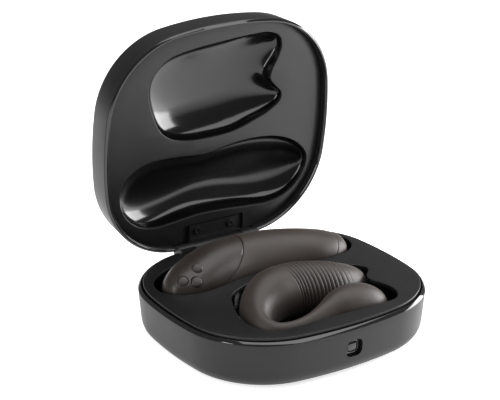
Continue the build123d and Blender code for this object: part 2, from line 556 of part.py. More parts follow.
save(rear_core, "rear_core")
save(front_core, "front_core")
save(flex_spine, "flex_spine")
save(rear_motor, "rear_motor")
save(front_motor, "front_motor")
save(rear_weight, "rear_weight")
save(front_weight, "front_weight")
save(massager_battery, "massager_battery")
save(massager_board, "massager_board")
save(Compound(children=massager_contacts), "massager_contacts")
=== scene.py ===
import json
from math import atan2, cos, pi, radians, sin, sqrt

import bmesh
import bpy
from bpy.props import FloatProperty, FloatVectorProperty, IntProperty, PointerProperty
from mathutils import Matrix, Vector


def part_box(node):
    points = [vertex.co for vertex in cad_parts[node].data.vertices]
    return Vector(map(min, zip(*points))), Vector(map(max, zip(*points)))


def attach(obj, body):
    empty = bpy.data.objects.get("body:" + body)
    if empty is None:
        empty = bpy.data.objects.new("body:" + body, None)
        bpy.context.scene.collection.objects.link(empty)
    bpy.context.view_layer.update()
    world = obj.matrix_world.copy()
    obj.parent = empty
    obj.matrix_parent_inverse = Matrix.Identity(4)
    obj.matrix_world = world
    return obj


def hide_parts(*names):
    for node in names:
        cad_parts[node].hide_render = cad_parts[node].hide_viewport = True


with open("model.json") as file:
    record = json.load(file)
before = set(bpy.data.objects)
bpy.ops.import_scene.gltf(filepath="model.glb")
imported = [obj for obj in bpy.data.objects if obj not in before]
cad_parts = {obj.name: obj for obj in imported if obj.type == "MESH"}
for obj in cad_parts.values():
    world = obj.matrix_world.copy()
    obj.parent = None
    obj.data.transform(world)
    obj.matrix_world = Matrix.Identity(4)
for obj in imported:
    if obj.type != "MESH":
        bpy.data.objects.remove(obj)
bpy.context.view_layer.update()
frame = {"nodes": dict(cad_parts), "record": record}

bl_info = {
    "name": "Hinged Charging Case",
    "version": (1, 0, 0),
    "blender": (4, 5, 0),
    "location": "3D View > Sidebar > Charging Case",
    "description": "Looks of a hinged charging case with a hand remote and a folded soft massager",
    "category": "Object",
}

MM = 0.001


# ---- places read from the frame -------------------------------------------------------------
def node_box(name):
    """A CAD node's lowest and highest corners at rest."""
    low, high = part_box(name)
    return Vector(low), Vector(high)


def joint_named(name):
    return next(j for j in frame["record"]["behaviour"]["joints"] if j["name"] == name)


HALF_WIDTH = node_box("base_shell")[1].x
DECK_TOP = node_box("base_deck")[1].z
HINGE = Vector(joint_named("lid_hinge")["pos_m"])
OPEN_ANGLE = radians(joint_named("lid_hinge")["range_deg"][1])

# The case's plan outline: half its depth, and the middle and radius of its front and rear corner arcs.
HALF_DEPTH = 54.8 * MM
CORNER = Vector((19.3, 13.4)) * MM
CORNER_RADIUS = 40.0 * MM


# ---- settings that a user would change ------------------------------------------------------
def hex_to_linear(code):
    """Linear RGB of an sRGB colour written as six hex digits."""
    channels = [int(code[i:i + 2], 16) / 255 for i in (0, 2, 4)]
    return tuple(c / 12.92 if c <= 0.04045 else ((c + 0.055) / 1.055) ** 2.4 for c in channels)


def colour_property(name, description, code):
    return FloatVectorProperty(name=name, description=description, subtype="COLOR", size=3, min=0, max=1,
                               default=hex_to_linear(code))


def length_property(name, description, millimetres):
    return FloatProperty(name=name, description=description, unit="LENGTH", subtype="DISTANCE",
                         precision=5, default=millimetres * MM)


class CaseSettings(bpy.types.PropertyGroup):
    shell_colour: colour_property("Shell", "Colour of the moulded outer shells", "101011")
    deck_colour: colour_property("Deck", "Colour of the deck plate and the lid's liner", "131314")
    tray_colour: colour_property("Tray", "Colour of the glossy wells", "070708")
    ring_colour: colour_property("Ring", "Colour of the polished rings", "101011")
    edge_round: length_property("Edge rounding", "Radius of the small edge rounds on plates", 0.3)
    grain_size: length_property("Grain", "Spacing of the moulded grain on the shells", 0.22)


class DeviceSettings(bpy.types.PropertyGroup):
    skin_colour: colour_property("Skin", "Colour of the massager's silicone skin", "2c2521")
    remote_colour: colour_property("Remote", "Colour of the remote's soft-touch shells", "2d2622")
    seam_width: length_property("Seam", "Width of the joint lines of the remote", 0.35)
    rib_pitch: length_property("Rib pitch", "Spacing of the ribs on the massager's arm", 2.15)
    rib_depth: length_property("Rib depth", "Depth of the grooves between the ribs", 0.6)
    rib_count: IntProperty(name="Ribs", description="Number of grooves in the fan of ribs", default=17,
                           min=1)


class StudioSettings(bpy.types.PropertyGroup):
    floor_colour: colour_property("Floor", "Colour of the studio floor", "f4f4f4")
    sky_strength: FloatProperty(name="Sky", description="Brightness of the white studio all around",
                                default=0.25, min=0)
    lens: FloatProperty(name="Lens", description="Focal length of the camera", unit="CAMERA", default=117.4)


# ---- meshes ---------------------------------------------------------------------------------
def link(obj):
    bpy.context.scene.collection.objects.link(obj)
    return obj


def mesh_piece(name, points, faces, material=None, smooth_angle=35.0):
    """A mesh object at the origin, with its faces turned outwards."""
    mesh = bpy.data.meshes.new(name)
    mesh.from_pydata([tuple(p) for p in points], [], faces)
    work = bmesh.new()
    work.from_mesh(mesh)
    bmesh.ops.remove_doubles(work, verts=work.verts, dist=1e-7)
    bmesh.ops.recalc_face_normals(work, faces=work.faces)
    work.to_mesh(mesh)
    work.free()
    if material is not None:
        mesh.materials.append(material)
    mesh.shade_smooth()
    mesh.set_sharp_from_angle(angle=radians(smooth_angle))
    return link(bpy.data.objects.new(name, mesh))


def centre_of(ring):
    """The mean of a ring's points."""
    return sum(ring, Vector((0, 0, 0))) / len(ring)


def drawn_in(ring, middle, factor, sink=0.0):
    """A ring scaled towards a point, and moved up or down."""
    return [Vector((middle.x + (p.x - middle.x) * factor, middle.y + (p.y - middle.y) * factor, p.z + sink))
            for p in ring]


def bridge(rings, ends=None, lift=None):
    """Points and faces of a skin through closed rings of equal count, closed at either end by a point.

    ends are those two points, or else the middles of the end rings; lift moves every point."""
    count = len(rings[0])
    points = [p for ring in rings for p in ring]
    points += ends or (centre_of(rings[0]), centre_of(rings[-1]))
    if lift is not None:
        points = [lift(p) for p in points]
    first = len(rings) * count
    base = first - count
    faces = []
    for row in range(len(rings) - 1):
        for i in range(count):
            j = (i + 1) % count
            faces.append((row * count + i, row * count + j, (row + 1) * count + j, (row + 1) * count + i))
    faces += [(first, (i + 1) % count, i) for i in range(count)]
    faces += [(base + i, base + (i + 1) % count, first + 1) for i in range(count)]
    return points, faces


def skin_piece(name, rings, material=None, smooth_angle=35.0, ends=None, lift=None):
    """A closed mesh object through rings of points."""
    return mesh_piece(name, *bridge(rings, ends, lift), material, smooth_angle)


def apply_modifiers(obj):
    """Replaces the object's mesh with its evaluated one and drops the modifiers."""
    graph = bpy.context.evaluated_depsgraph_get()
    graph.update()
    mesh = bpy.data.meshes.new_from_object(obj.evaluated_get(graph))
    old = obj.data
    obj.modifiers.clear()
    name = obj.name
    if obj.type == "MESH":
        obj.data = mesh
        mesh.name = name
        bpy.data.meshes.remove(old)
        return obj
    made = bpy.data.objects.new(name + "_mesh", mesh)
    bpy.data.objects.remove(obj)
    made.name = name
    return link(made)


def carve(piece, cutters):
    """Cuts closed meshes out of a piece, one after another, and removes them."""
    for cutter in cutters:
        step = piece.modifiers.new("carve", "BOOLEAN")
        step.operation = "DIFFERENCE"
        step.solver = "MANIFOLD"
        step.object = cutter
    apply_modifiers(piece)
    for cutter in cutters:
        bpy.data.objects.remove(cutter)
    if not piece.data.polygons:
        raise RuntimeError("nothing is left of " + piece.name)
    piece.data.shade_smooth()
    piece.data.set_sharp_from_angle(angle=radians(35))


def soften(piece, width):
    """Rounds the sharp edges of a piece."""
    step = piece.modifiers.new("soften", "BEVEL")
    step.width = width
    step.segments = 2
    step.limit_method = "ANGLE"
    step.angle_limit = radians(50)
    step.use_clamp_overlap = True
    step.harden_normals = True
    apply_modifiers(piece)


def smooth_path(stations, steps, closed=False):
    """Centripetal Catmull-Rom curve through tuples of numbers, with that many steps between stations."""
    count = len(stations)
    rows = []
    spans = count if closed else count - 1
    for i in range(spans):
        if closed:
            quad = [stations[(i + k - 1) % count] for k in range(4)]
        else:
            quad = [stations[min(max(i + k - 1, 0), count - 1)] for k in range(4)]
        knots = [0.0]
        for a, b in zip(quad, quad[1:]):
            gap = sqrt(sum((p - q) ** 2 for p, q in zip(a[:3], b[:3])))
            knots.append(knots[-1] + max(gap, 1e-9) ** 0.5)
        if not closed and i == 0:
            quad[0] = tuple(2 * a - b for a, b in zip(quad[1], quad[2]))
            first = knots[2] - knots[1]
            knots = [knots[1] - first] + knots[1:]
        if not closed and i == spans - 1:
            quad[3] = tuple(2 * b - a for a, b in zip(quad[1], quad[2]))
            knots[3] = knots[2] + (knots[2] - knots[1])
        for s in range(steps):
            t = knots[1] + (knots[2] - knots[1]) * s / steps
            rows.append(catmull(quad, knots, t))
    if not closed:
        rows.append(tuple(stations[-1]))
    return rows


def catmull(quad, knots, t):
    """Point of the Catmull-Rom span through four stations at knot value t."""
    def mix(a, b, ta, tb):
        if tb - ta < 1e-12:
            return a
        k = (t - ta) / (tb - ta)
        return tuple(p + (q - p) * k for p, q in zip(a, b))
    a1 = mix(quad[0], quad[1], knots[0], knots[1])
    a2 = mix(quad[1], quad[2], knots[1], knots[2])
    a3 = mix(quad[2], quad[3], knots[2], knots[3])
    b1 = mix(a1, a2, knots[0], knots[2])
    b2 = mix(a2, a3, knots[1], knots[3])
    return mix(b1, b2, knots[1], knots[2])


def evenly(points, count):
    """The same closed line with its points spread evenly along it."""
    loop = [Vector(p) for p in points] + [Vector(points[0])]
    lengths = [0.0]
    for a, b in zip(loop, loop[1:]):
        lengths.append(lengths[-1] + (b - a).length)
    out = []
    k = 0
    for i in range(count):
        want = lengths[-1] * i / count
        while lengths[k + 1] < want:
            k += 1
        span = lengths[k + 1] - lengths[k]
        out.append(loop[k].lerp(loop[k + 1], (want - lengths[k]) / span if span else 0))
    return out


def swing_open(point):
    """A place on the closed lid, moved to where the open lid has it."""
    return HINGE + Matrix.Rotation(-OPEN_ANGLE, 3, "X") @ (Vector(point) - HINGE)


# ---- outline of the case --------------------------------------------------------------------
def case_outline(inset, z, steps=1.0):
    """Rounded-square line of the case, drawn in by inset at height z, both in millimetres.

    It is made of eight tangent arcs, the same in each quarter."""
    end_gap = HALF_DEPTH - CORNER.y
    flank_gap = HALF_WIDTH - CORNER.x
    end_radius = (CORNER.x ** 2 + end_gap ** 2 - CORNER_RADIUS ** 2) / (2 * (end_gap - CORNER_RADIUS))
    flank_radius = (CORNER.y ** 2 + flank_gap ** 2 - CORNER_RADIUS ** 2) / (2 * (flank_gap - CORNER_RADIUS))
    flank = Vector((HALF_WIDTH - flank_radius, 0))
    end = Vector((0, HALF_DEPTH - end_radius))
    to_flank = atan2(CORNER.y, CORNER.x - flank.x)
    to_end = atan2(CORNER.y - end.y, CORNER.x)
    inside = inset * MM
    there = arc_points(flank, flank_radius - inside, 0, to_flank, int(18 * steps))
    there += arc_points(CORNER, CORNER_RADIUS - inside, to_flank, to_end, int(44 * steps))
    there += arc_points(end, end_radius - inside, to_end, pi / 2, int(20 * steps))
    back = [Vector((0, HALF_DEPTH - inside))] + there[:0:-1]
    points = []
    for flip_x, flip_y in ((1, 1), (-1, 1), (-1, -1), (1, -1)):
        quarter = there if flip_x == flip_y else back
        points += [Vector((p.x * flip_x, p.y * flip_y, z * MM)) for p in quarter]
    return points


def arc_points(centre, radius, start, stop, steps):
    """Plan points along an arc, without its last one."""
    angles = [start + (stop - start) * i / steps for i in range(steps)]
    return [centre + radius * Vector((cos(a), sin(a))) for a in angles]


def case_skin(name, levels, material, lift=None):
    """Closed skin through (z, inset) levels in millimetres, closed flat at its first and last level."""
    axis = Vector((0, 0, 0))
    rings = [case_outline(inset, z) for z, inset in levels]
    low = [drawn_in(rings[0], axis, f) for f in (0.25, 0.5, 0.75, 0.9)]
    high = [drawn_in(rings[-1], axis, f) for f in (0.9, 0.75, 0.5, 0.25)]
    ends = [Vector((0, 0, levels[0][0] * MM)), Vector((0, 0, levels[-1][0] * MM))]
    return skin_piece(name, low + rings + high, material, ends=ends, lift=lift)


def prism(name, ring, low, high, lift=None):
    """Closed upright cutter over a plan outline, between two heights in millimetres."""
    rings = [[Vector((p.x, p.y, z * MM)) for p in ring] for z in (low, high)]
    return skin_piece(name, rings, lift=lift)


def block(name, low, high, lift=None):
    """Closed box cutter between two corners, in millimetres."""
    corners = [Vector((x, y, z)) * MM
               for z in (low[2], high[2]) for y in (low[1], high[1]) for x in (low[0], high[0])]
    if lift is not None:
        corners = [lift(c) for c in corners]
    faces = [(0, 1, 3, 2), (4, 6, 7, 5), (0, 4, 5, 1), (2, 3, 7, 6), (0, 2, 6, 4), (1, 5, 7, 3)]
    return mesh_piece(name, corners, faces)


def stadium(width, height, radius, steps=8):
    """Rounded rectangle round the origin, as (across, up) pairs."""
    points = []
    for quarter in range(4):
        across = (width / 2 - radius) * (1 if quarter in (0, 3) else -1)
        up = (height / 2 - radius) * (1 if quarter in (0, 1) else -1)
        for i in range(steps + 1):
            a = pi / 2 * (quarter + i / steps)
            points.append((across + radius * cos(a), up + radius * sin(a)))
    return points


def bar_along_y(name, shape, height, y_levels, material=None):
    """Closed bar at x 0 and that height, in millimetres.

    Its section is shape, drawn in by shrink at each of the (y, shrink) levels."""
    rings = []
    half_width = max(p[0] for p in shape)
    half_height = max(p[1] for p in shape)
    for y, shrink in y_levels:
        wide = (half_width - shrink) / half_width
        tall = (half_height - shrink) / half_height
        rings.append([Vector((across * wide, y, height + up * tall)) * MM for across, up in shape])
    return skin_piece(name, rings, material)


def circle(radius, steps):
    """Points of a circle round the origin, level."""
    return [Vector((radius * cos(2 * pi * i / steps), radius * sin(2 * pi * i / steps), 0))
            for i in range(steps)]


def round_bar(name, radius, low, high, steps=32):
    """Closed cylinder between two end points."""
    turn = (high - low).normalized().to_track_quat("Z", "Y").to_matrix()
    rings = [[end + turn @ p for p in circle(radius, steps)] for end in (low, high)]
    return skin_piece(name, rings)


# ---- node trees -----------------------------------------------------------------------------
def add(tree, kind, settings=None, **links):
    """Adds a node. Settings are its attributes; links give its inputs by name, as values or sockets."""
    node = tree.nodes.new(kind)
    for key, value in (settings or {}).items():
        setattr(node, key, value)
    for key, value in links.items():
        wanted = key.replace("_", " ").strip()
        socket = next((s for s in node.inputs if s.name == wanted and not s.is_unavailable), None)
        if socket is None and wanted[:1] == "i" and wanted[1:].isdigit():
            socket = node.inputs[int(wanted[1:])]
        if socket is None:
            raise RuntimeError(kind + " has no input " + wanted)
        if isinstance(value, bpy.types.NodeSocket):
            tree.links.new(value, socket)
        else:
            socket.default_value = value
    return node


def rgba(colour):
    return (*tuple(colour)[:3], 1.0)


def start_material(name):
    material = bpy.data.materials.new(name)
    material.use_nodes = True
    material.node_tree.nodes.clear()
    return material, material.node_tree


def close_material(material, **inputs):
    """Ends a material in one shader with those inputs, as values or sockets."""
    shader = add(material.node_tree, "ShaderNodeBsdfPrincipled", **inputs)
    add(material.node_tree, "ShaderNodeOutputMaterial", Surface=shader.outputs["BSDF"])
    return material


def speckle(tree, pitch, detail=2.0, seed=0.0):
    """Fine noise whose spots are about pitch apart."""
    where = add(tree, "ShaderNodeTexCoord").outputs["Object"]
    place = add(tree, "ShaderNodeMapping", Vector=where, Location=(seed, seed * 0.7, seed * 1.3))
    return add(tree, "ShaderNodeTexNoise", Vector=place.outputs["Vector"], Scale=1.0 / pitch,
               Detail=detail).outputs["Fac"]


def between(tree, fac, start, stop, low=0.3, high=0.7):
    """Number from start to stop as fac goes from low to high."""
    return add(tree, "ShaderNodeMapRange", Value=fac, From_Min=low, From_Max=high, To_Min=start,
               To_Max=stop).outputs["Result"]


def tint(tree, fac, colour, dark, light, low=0.3, high=0.7):
    """The colour times dark to the colour times light, as fac goes from low to high."""
    share = between(tree, fac, 0.0, 1.0, low, high)
    mix = add(tree, "ShaderNodeMix", {"data_type": "RGBA"}, i0=share, i6=rgba(scaled(colour, dark)),
              i7=rgba(scaled(colour, light)))
    return mix.outputs[2]


def bump(tree, height, distance):
    return add(tree, "ShaderNodeBump", Height=height, Distance=distance, Strength=1.0).outputs["Normal"]


def scaled(colour, factor):
    return tuple(c * factor for c in tuple(colour)[:3])


def moulded_plastic(name, colour, roughness, grain, grain_height, ior=1.36):
    """Moulded ABS: even colour, with the fine grain that a spark-eroded tool leaves in its skin."""
    material, tree = start_material(name)
    grains = speckle(tree, grain, 3.0)
    clouds = speckle(tree, 14 * MM, 2.0, 0.3)
    return close_material(material, Base_Color=tint(tree, clouds, colour, 0.94, 1.06), IOR=ior,
                          Roughness=between(tree, clouds, roughness - 0.02, roughness + 0.03),
                          Normal=bump(tree, grains, grain_height))


def polished_plastic(name, colour, roughness, ior=1.53):
    """Mirror-polished ABS: almost no grain, only the faint waviness of a moulded gloss face."""
    material, tree = start_material(name)
    waves = speckle(tree, 9 * MM, 1.0)
    dust = speckle(tree, 0.6 * MM, 2.0, 0.5)
    return close_material(material, Base_Color=tint(tree, waves, colour, 0.9, 1.1), IOR=ior,
                          Roughness=between(tree, dust, roughness, roughness + 0.05, 0.45, 0.75),
                          Normal=bump(tree, waves, 0.012 * MM))


def silicone_rubber(name, colour, roughness=0.5):
    """Liquid silicone rubber: soft matt skin with a dull sheen at grazing angles and a trace of bloom."""
    material, tree = start_material(name)
    skin = speckle(tree, 0.18 * MM)
    bloom = speckle(tree, 11 * MM, 3.0, 0.9)
    return close_material(material, Base_Color=tint(tree, bloom, colour, 0.93, 1.07), IOR=1.38,
                          Roughness=between(tree, bloom, roughness - 0.03, roughness + 0.04),
                          Normal=bump(tree, skin, 0.006 * MM), Sheen_Weight=0.03, Sheen_Roughness=0.45)


def pressed_rubber(name, colour):
    """Compression-moulded rubber: dull, with a coarse matt tooth and lighter rubbed spots."""
    material, tree = start_material(name)
    tooth = speckle(tree, 0.5 * MM, 4.0)
    rubbed = speckle(tree, 7 * MM, 3.0, 0.2)
    return close_material(material, Base_Color=tint(tree, rubbed, colour, 1.0, 1.5, 0.35), Roughness=0.82,
                          Normal=bump(tree, tooth, 0.03 * MM))


def turned_metal(name, colour, roughness):
    """Bare metal from a lathe or a press: long fine tool marks and small changes of shine."""
    material, tree = start_material(name)
    where = add(tree, "ShaderNodeTexCoord").outputs["Object"]
    stretch = add(tree, "ShaderNodeMapping", Vector=where, Scale=(0.05, 1, 1))
    marks = add(tree, "ShaderNodeTexNoise", Vector=stretch.outputs["Vector"], Scale=1 / (0.12 * MM),
                Detail=2.0).outputs["Fac"]
    return close_material(material, Base_Color=tint(tree, marks, colour, 0.85, 1.0), Metallic=1.0,
                          Roughness=between(tree, marks, roughness, roughness + 0.12),
                          Normal=bump(tree, marks, 0.004 * MM))


def solder_mask(name, colour):
    """Fibreglass board under solder mask: straight copper tracks show through as a lighter green."""
    material, tree = start_material(name)
    where = add(tree, "ShaderNodeTexCoord").outputs["Object"]
    tracks = add(tree, "ShaderNodeTexBrick", {"offset": 0.37}, Vector=where, Scale=1 / (2.4 * MM),
                 Color1=rgba(colour), Color2=rgba(scaled(colour, 1.25)), Mortar=rgba(scaled(colour, 1.8)),
                 Mortar_Size=0.06)
    return close_material(material, Base_Color=tracks.outputs["Color"], Roughness=0.35,
                          Normal=bump(tree, tracks.outputs["Fac"], 0.02 * MM))


def foil_pouch(name, colour):
    """Aluminium laminate of a pouch cell: soft silver with shallow wrinkles."""
    material, tree = start_material(name)
    wrinkles = speckle(tree, 3 * MM, 4.0)
    return close_material(material, Base_Color=tint(tree, wrinkles, colour, 0.8, 1.0), Roughness=0.32,
                          Normal=bump(tree, wrinkles, 0.15 * MM), Metallic=0.9)


def studio_card(name, colour, glow):
    """Seamless translucent white card, lit a little from below: flat white with a faint tooth."""
    material, tree = start_material(name)
    tooth = speckle(tree, 1.2 * MM, 3.0)
    return close_material(material, Base_Color=tint(tree, tooth, colour, 0.985, 1.0), Roughness=0.9,
                          Emission_Color=rgba(colour), Emission_Strength=glow)


MATERIALS = {}


def material_named(key):
    """Each material is made once, from the settings of the scene."""
    if key in MATERIALS:
        return MATERIALS[key]
    case = bpy.context.scene.charging_case
    device = bpy.context.scene.case_devices
    makers = {
        "shell": lambda: moulded_plastic("moulded_abs_fine_grain", case.shell_colour, 0.42, case.grain_size,
                                         0.012 * MM),
        "deck": lambda: moulded_plastic("painted_abs_satin", case.deck_colour, 0.36, 0.16 * MM, 0.004 * MM,
                                        ior=1.38),
        "tray": lambda: polished_plastic("gloss_moulded_abs", case.tray_colour, 0.13, 1.45),
        "ring": lambda: polished_plastic("mirror_polished_abs", case.ring_colour, 0.07),
        "skin": lambda: silicone_rubber("liquid_silicone_rubber", device.skin_colour),
        "remote": lambda: silicone_rubber("soft_touch_coated_abs", device.remote_colour, 0.46),
        "housing": lambda: silicone_rubber("satin_coated_abs", scaled(device.remote_colour, 0.72), 0.38),
        "rubber": lambda: pressed_rubber("pressed_foot_rubber", hex_to_linear("161616")),
        "steel": lambda: turned_metal("turned_stainless_steel", hex_to_linear("b9bbbd"), 0.25),
        "black_steel": lambda: turned_metal("blackened_steel", hex_to_linear("38383a"), 0.38),
        "nickel": lambda: turned_metal("nickel_plated_magnet", hex_to_linear("d2d2d0"), 0.12),
        "gold": lambda: turned_metal("gold_plated_contact", hex_to_linear("e2b653"), 0.18),
        "board": lambda: solder_mask("fibreglass_circuit_board", hex_to_linear("1c5a33")),
        "foil": lambda: foil_pouch("aluminium_laminate_pouch", hex_to_linear("c4c6c8")),
        "nylon": lambda: moulded_plastic("moulded_natural_nylon", hex_to_linear("d8d4c8"), 0.5, 0.4 * MM,
                                         0.01 * MM),
    }
    MATERIALS[key] = makers[key]()
    return MATERIALS[key]


def finish_piece(piece, body, node):
    """Hands a finished piece to the frame, in the place of a CAD node."""
    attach(piece, body)
    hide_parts(node)


# ---- geometry node trees --------------------------------------------------------------------
def node_group(name, sizes):
    """An empty geometry tree with a geometry input and output, and named inputs for its sizes."""
    tree = bpy.data.node_groups.new(name, "GeometryNodeTree")
    tree.interface.new_socket("Geometry", in_out="INPUT", socket_type="NodeSocketGeometry")
    for label, kind in sizes:
        tree.interface.new_socket(label, in_out="INPUT", socket_type="NodeSocket" + kind)
    tree.interface.new_socket("Geometry", in_out="OUTPUT", socket_type="NodeSocketGeometry")
    return tree, add(tree, "NodeGroupInput").outputs


def maths(tree, operation, a, b=0.0):
    """One sum in a node tree, of numbers or sockets."""
    return add(tree, "ShaderNodeMath", {"operation": operation}, i0=a, i1=b).outputs[0]


def fade(tree, value, low, high, start=0.0, stop=1.0):
    """Number that eases from start to stop as value goes from low to high."""
    return add(tree, "ShaderNodeMapRange", {"interpolation_type": "SMOOTHSTEP"}, Value=value, From_Min=low,
               From_Max=high, To_Min=start, To_Max=stop).outputs[0]


def close_group(tree, geometry, material):
    """Ends a tree in Realize Instances and Set Material."""
    real = add(tree, "GeometryNodeRealizeInstances", Geometry=geometry)
    paint = add(tree, "GeometryNodeSetMaterial", Geometry=real.outputs["Geometry"], Material=material)
    out = add(tree, "NodeGroupOutput")
    tree.links.new(paint.outputs["Geometry"], out.inputs["Geometry"])


def run_group(piece, tree, values):
    """Runs a geometry tree on a piece with its inputs set, and keeps the plain mesh that it makes."""
    step = piece.modifiers.new("shape", "NODES")
    step.node_group = tree
    for socket in tree.interface.items_tree:
        if socket.in_out == "INPUT" and socket.name in values:
            step[socket.identifier] = values[socket.name]
    made = apply_modifiers(piece)
    if not made.data.polygons:
        raise RuntimeError(tree.name + " made nothing")
    return made


def ring_tree(material):
    """A four-cornered bar swept along a closed line: its outer foot, outer top, inner top and inner foot."""
    tree, given = node_group("swept ring", [("Outer foot", "Vector"), ("Outer top", "Vector"),
                                            ("Inner top", "Vector"), ("Inner foot", "Vector"),
                                            ("Edge round", "Float")])
    line = add(tree, "GeometryNodeMeshToCurve", Mesh=given["Geometry"])
    level = add(tree, "GeometryNodeSetCurveNormal", {"mode": "Z_UP"}, Curve=line.outputs["Curve"])
    corners = add(tree, "GeometryNodeCurvePrimitiveQuadrilateral", {"mode": "POINTS"},
                  Point_1=given["Outer foot"], Point_2=given["Outer top"], Point_3=given["Inner top"],
                  Point_4=given["Inner foot"])
    section = add(tree, "GeometryNodeFilletCurve", {"mode": "POLY"}, Curve=corners.outputs["Curve"],
                  Radius=given["Edge round"])
    bar = add(tree, "GeometryNodeCurveToMesh", Curve=level.outputs["Curve"],
              Profile_Curve=section.outputs["Curve"])
    close_group(tree, bar.outputs["Mesh"], material)
    return tree


def stud_tree(name, material):
    """A round-headed stud with a six-sided socket, set on every point that it is given."""
    tree, given = node_group(name, [("Head radius", "Float"), ("Head height", "Float"),
                                    ("Shank radius", "Float"), ("Shank length", "Float"),
                                    ("Socket radius", "Float"), ("Turn", "Rotation")])
    half_head = maths(tree, "MULTIPLY", given["Head height"], 0.5)
    half_shank = maths(tree, "MULTIPLY", given["Shank length"], 0.5)
    head = add(tree, "GeometryNodeMeshCylinder", Vertices=32, Radius=given["Head radius"],
               Depth=given["Head height"])
    socket = add(tree, "GeometryNodeMeshCylinder", Vertices=6, Radius=given["Socket radius"],
                 Depth=given["Head height"])
    down = add(tree, "ShaderNodeCombineXYZ", Z=maths(tree, "MULTIPLY", half_head, -1.0))
    sunk = add(tree, "GeometryNodeTransform", Geometry=socket.outputs["Mesh"], Translation=down.outputs[0])
    cut = add(tree, "GeometryNodeMeshBoolean", {"operation": "DIFFERENCE"}, Mesh_1=head.outputs["Mesh"],
              Mesh_2=sunk.outputs["Geometry"])
    shank = add(tree, "GeometryNodeMeshCylinder", Vertices=20, Radius=given["Shank radius"],
                Depth=given["Shank length"])
    up = add(tree, "ShaderNodeCombineXYZ", Z=maths(tree, "ADD", half_shank, half_head))
    raised = add(tree, "GeometryNodeTransform", Geometry=shank.outputs["Mesh"], Translation=up.outputs[0])
    both = add(tree, "GeometryNodeJoinGeometry")
    tree.links.new(cut.outputs["Mesh"], both.inputs["Geometry"])
    tree.links.new(raised.outputs["Geometry"], both.inputs["Geometry"])
    points = add(tree, "GeometryNodeMeshToPoints", Mesh=given["Geometry"])
    studs = add(tree, "GeometryNodeInstanceOnPoints", Points=points.outputs["Points"],
                Instance=both.outputs["Geometry"], Rotation=given["Turn"])
    close_group(tree, studs.outputs["Instances"], material)
    return tree


RIB_SHARPNESS = 10.0            # power of the wave that makes a groove: a higher one is narrower


def rib_tree(material):
    """Presses a fan of grooves into a skin that carries "along" in metres and "around" in turns.

    At the first rib a groove slants by Lean for each turn round the skin, and at the last it is square.
    Middle and Reach say how far round the skin the ribs go, and Fade is how many of them die away."""
    tree, given = node_group("rib fan", [("Start", "Float"), ("Pitch", "Float"), ("Count", "Int"),
                                         ("Depth", "Float"), ("Middle", "Float"), ("Reach", "Float"),
                                         ("Fade", "Float"), ("Lean", "Float")])

    def number(operation, a, b=0.0):
        return maths(tree, operation, a, b)

    along = add(tree, "GeometryNodeInputNamedAttribute", {"data_type": "FLOAT"}, Name="along").outputs[0]
    around = add(tree, "GeometryNodeInputNamedAttribute", {"data_type": "FLOAT"}, Name="around").outputs[0]
    whole = number("MULTIPLY", given["Pitch"], given["Count"])
    opened = number("SUBTRACT", 1.0, number("DIVIDE", along, whole))
    from_side = number("SUBTRACT", 0.25, around)
    leaning = number("MULTIPLY", number("MULTIPLY", given["Lean"], from_side), opened)
    upright = number("SUBTRACT", along, given["Start"])
    turn = number("DIVIDE", number("SUBTRACT", upright, leaning), given["Pitch"])
    wave = number("ABSOLUTE", number("COSINE", number("MULTIPLY", turn, pi)))
    groove = number("POWER", wave, RIB_SHARPNESS)
    enters = fade(tree, turn, -0.5, 0.4)
    last = number("SUBTRACT", given["Count"], given["Fade"])
    leaves = fade(tree, turn, last, given["Count"], 1.0, 0.0)
    off = number("ABSOLUTE", number("SUBTRACT", around, given["Middle"]))
    inner = number("MULTIPLY", given["Reach"], 0.75)
    side = fade(tree, off, inner, given["Reach"], 1.0, 0.0)
    mask = number("MULTIPLY", number("MULTIPLY", enters, leaves), side)
    sink = number("MULTIPLY", number("MULTIPLY", groove, mask), number("MULTIPLY", given["Depth"], -1.0))
    normal = add(tree, "GeometryNodeInputNormal").outputs["Normal"]
    shift = add(tree, "ShaderNodeVectorMath", {"operation": "SCALE"}, i0=normal, Scale=sink).outputs[0]
    moved = add(tree, "GeometryNodeSetPosition", Geometry=given["Geometry"], Offset=shift)
    close_group(tree, moved.outputs["Geometry"], material)
    return tree


def loop_object(name, ring):
    """A closed line of edges for a tree to follow."""
    mesh = bpy.data.meshes.new(name)
    count = len(ring)
    mesh.from_pydata([tuple(p) for p in ring], [(i, (i + 1) % count) for i in range(count)], [])
    return link(bpy.data.objects.new(name, mesh))


def point_object(name, places):
    mesh = bpy.data.meshes.new(name)
    mesh.from_pydata([tuple(p) for p in places], [], [])
    return link(bpy.data.objects.new(name, mesh))


# ---- wells ----------------------------------------------------------------------------------
REMOTE_WELL = [(-51.2, 21), (-50, 15.5), (-45, 10.4), (-36, 7.6), (-25, 8.8), (-13, 11.4), (0, 12.6),
               (12, 12), (24, 9.6), (34, 8.4), (43.5, 10), (49.6, 14.6), (52, 21.4), (50.4, 28),
               (44, 33.4), (33, 37), (20, 38.6), (0, 39.2), (-20, 39.6), (-34, 38.4), (-42.4, 34.4),
               (-48.8, 28.6)]
MASSAGER_WELL = [(-37.4, -30), (-35.6, -37.2), (-31.4, -40.8), (-24, -42.6), (-6, -43), (14, -43.4),
                 (25, -43.9), (31, -42.6), (34.7, -37.8), (35.6, -31.6), (34.4, -25.6), (32.9, -20.4),
                 (34.6, -16.4), (38.2, -13), (39.4, -9.2), (36.6, -4.4), (28, 1), (16, 4.8), (3, 6.2),
                 (-10, 5.6), (-20, 2.8), (-27, -1.6), (-32, -9.6), (-35.8, -19.4)]
